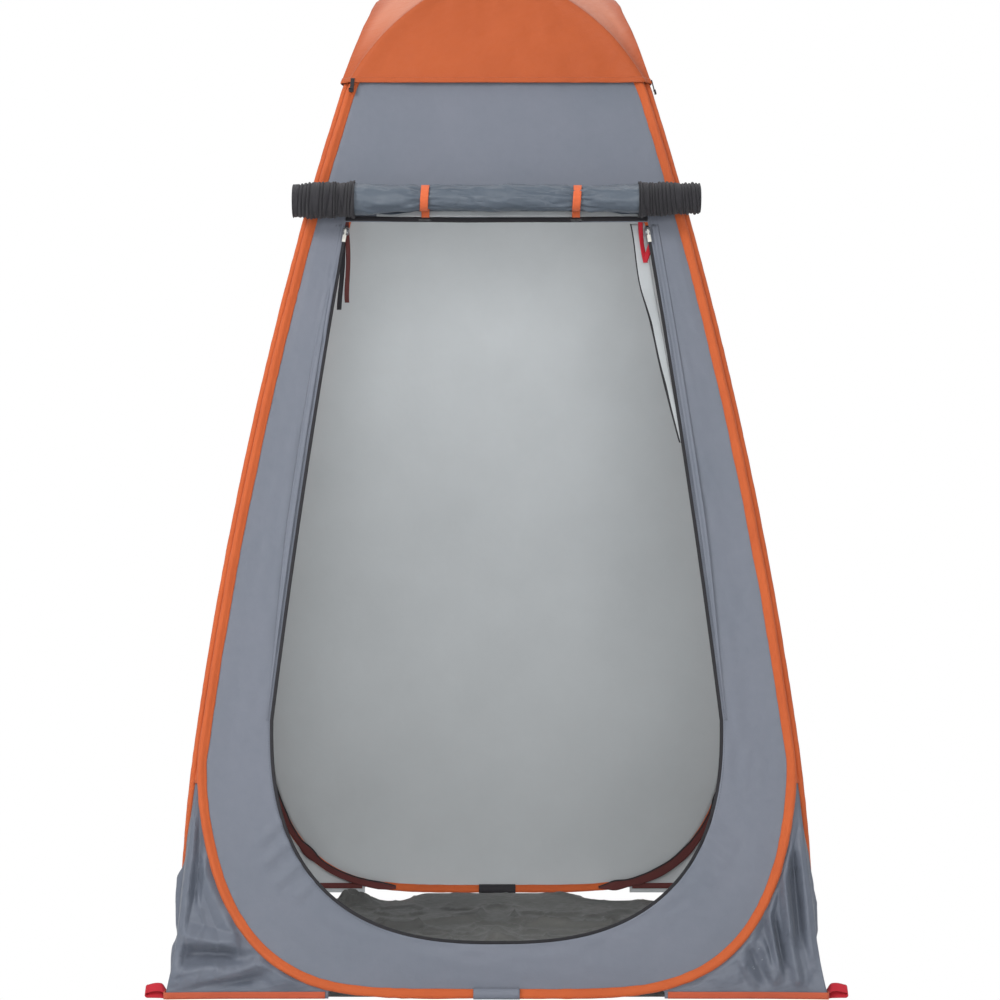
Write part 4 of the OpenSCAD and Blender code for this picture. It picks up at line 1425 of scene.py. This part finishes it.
def make_head_painted_light():
    """A pale strip between the roll and the doorway's head: painted light on the lit wall cloth there, in the
    inside cloth's colour.
    """
    x = np.linspace(-0.235, 0.283, 70)
    z = np.linspace(HEAD_H + 0.0095, HEAD_H + 0.027, 6)
    xx, zz = np.meshgrid(x, z)
    points = on_wall(xx, zz, 0.0016 + 0.0004 * value_noise(xx * 20, zz * 60, 171))
    obj = grid_object("doorway_head_painted_light", points, [SILVER_IN])
    thicken(obj)
    finish_piece(obj, "shelter")


make_head_painted_light()


def make_storm_flap():
    """A loose inner flap along the right jamb, wide at the head and gone half-way down."""
    t = np.linspace(0, 1, 90)
    z = HEAD_H + 0.004 - 0.435 * t
    outer = jamb_x(z) - 0.004
    width = 0.026 * (1 - t) ** 0.8 + 0.006 * np.sin(t * 6) ** 2 * (1 - t) + 0.0015
    inner = outer - width
    share = np.linspace(0, 1, 9)
    x = outer[:, None] + (inner - outer)[:, None] * share[None]
    zz = np.repeat(z[:, None], 9, 1)
    hang = 0.034 * smooth_step(0.0, 0.3, t) * (1 - smooth_step(0.45, 1.0, t))
    hang = hang + 0.012 * (1 - smooth_step(0.2, 0.45, t))
    sway = -0.006 - hang[:, None] - 0.004 * share[None] + 0.002 * np.sin(t * 19)[:, None] * share[None]
    points = on_wall(x, zz, sway)
    obj = grid_object("storm_flap_cloth", points, [SILVER_IN])
    thicken(obj)
    finish_piece(obj, "shelter")
    edge = points[:, -1]
    across = np.tile([1.0, 0.0, 0.0], (90, 1))
    half = 0.0012 + 0.0020 * smooth_step(0.2, 0.7, t)
    rim = strip("storm_flap_edge", edge, across, half, BLACK_TAPE, TAPE_T, lanes=3)
    finish_piece(rim, "shelter")


make_storm_flap()


# ---------------------------------------------------------------- ribbons

def make_ribbon(node, x, length, curl, material, lean=0.0):
    """A ribbon that hangs inside the doorway and curls a little."""
    t = np.linspace(0, 1, 40)
    low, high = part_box(node)
    top = high[2] - 0.0005
    y = (low[1] + high[1]) / 2
    line = np.stack([
        x + lean * t ** 2 + curl * np.sin(t * 5) * t,
        y + 0.006 * np.sin(t * 4) * t,
        top - length * t,
    ], 1)
    twist = 0.9 * np.sin(t * 3.4) * t
    across = np.stack([np.cos(twist), np.sin(twist), np.zeros_like(t)], 1)
    obj = strip(node + "_tape", line, across, RIBBON_HALF, material, 0.0009)
    finish_piece(obj, "shelter", [node])


make_ribbon("ribbon_black", -0.301, 0.180, 0.003, BLACK_TAPE, -0.004)
# The red ribbon hangs in shade inside the doorway; its dark red is painted shade on red tape
make_ribbon("ribbon_red", -0.2935, 0.166, 0.005, DARK_RED, 0.006)
make_ribbon("ribbon_loop", 0.2810, 0.088, 0.0, RED_WEBBING, 0.010)


def make_loop_leg():
    """The loop ribbon's other leg, which makes a V with the first."""
    t = np.linspace(0, 1, 24)
    line = np.stack([0.2900 + 0.014 * t, -wall_s(1.46) + 0.002 + 0.003 * t, 1.392 + 0.040 * t], 1)
    across = np.tile([0.93, 0.0, -0.37], (24, 1))
    obj = strip("ribbon_loop_leg", line, across, RIBBON_HALF + 0.001 * t, RED_WEBBING, 0.0009)
    finish_piece(obj, "shelter")


make_loop_leg()


# ---------------------------------------------------------------- hard parts

def dress(node, material):
    """A piece that keeps its CAD shape gets its finish."""
    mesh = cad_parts[node].data
    mesh.materials.clear()
    mesh.materials.append(material)


for name in SIDES:
    dress(name + "_hoop_wire", WIRE_STEEL)
dress("hoop_ferrules", WIRE_STEEL)
for name in ("left", "right"):
    dress("slider_" + name, ZIP_METAL)
    dress("pull_" + name, PULL_PLASTIC)


# ---------------------------------------------------------------- studio

def white_to_camera(nodes, links, lit, white, output):
    """Lights the shelter one way and looks plain white to the camera."""
    path = nodes.new("ShaderNodeLightPath")
    mix = nodes.new("ShaderNodeMixShader")
    links.new(path.outputs["Is Camera Ray"], mix.inputs["Fac"])
    links.new(lit, mix.inputs[1])
    links.new(white, mix.inputs[2])
    links.new(mix.outputs["Shader"], output.inputs["Surface"])


def make_sky():
    world = bpy.data.worlds.new("studio")
    bpy.context.scene.world = world
    world.use_nodes = True
    nodes = world.node_tree.nodes
    nodes.clear()
    output = nodes.new("ShaderNodeOutputWorld")
    light = nodes.new("ShaderNodeBackground")
    light.inputs["Color"].default_value = (0.95, 0.97, 1.0, 1)
    light.inputs["Strength"].default_value = 0.55
    plain = nodes.new("ShaderNodeBackground")
    plain.inputs["Color"].default_value = (1, 1, 1, 1)
    links = world.node_tree.links
    white_to_camera(nodes, links, light.outputs["Background"], plain.outputs["Background"], output)


def make_studio_floor():
    reach, low = 30, -0.0006
    corners = [(-reach, -reach, low), (reach, -reach, low), (reach, reach, low), (-reach, reach, low)]
    floor = mesh_object("studio_floor", corners, [(0, 1, 2, 3)], [])
    finish = Finish("studio_floor")
    finish.set(Base_Color=(0.85, 0.85, 0.85, 1), Roughness=0.9)
    white = finish.nodes.new("ShaderNodeEmission")
    lit = finish.shader.outputs["BSDF"]
    white_to_camera(finish.nodes, finish.links, lit, white.outputs["Emission"], finish.output)
    floor.data.materials.append(finish.material)


def make_lamp(name, place, aim, size, power):
    """A square lamp that lights the scene without being seen."""
    data = bpy.data.lights.new(name, "AREA")
    data.shape = "SQUARE"
    data.size = size
    data.energy = power
    lamp = bpy.data.objects.new(name, data)
    lamp.location = place
    lamp.rotation_euler = (Vector(aim) - Vector(place)).to_track_quat("-Z", "Y").to_euler()
    lamp.visible_camera = False
    bpy.context.scene.collection.objects.link(lamp)


bpy.context.scene.view_settings.view_transform = "Standard"
make_sky()
make_studio_floor()
make_lamp("key", (-2.8, -3.2, 3.4), (0, 0, 0.7), 1.4, 88)
make_lamp("front", (0.3, -5.8, 1.7), (0, 0, 0.9), 1.8, 92)
make_lamp("top", (0.0, 0.6, 5.0), (0, 0, 1.0), 3.0, 55)
# Two lamps, one above the other, light the cabin evenly
make_lamp("cabin_low", (0.0, -0.26, 0.36), (0.0, 0.5, 0.20), 0.36, 1.9)
make_lamp("cabin_high", (0.0, -0.26, 1.18), (0.0, 0.5, 1.44), 0.36, 2.1)
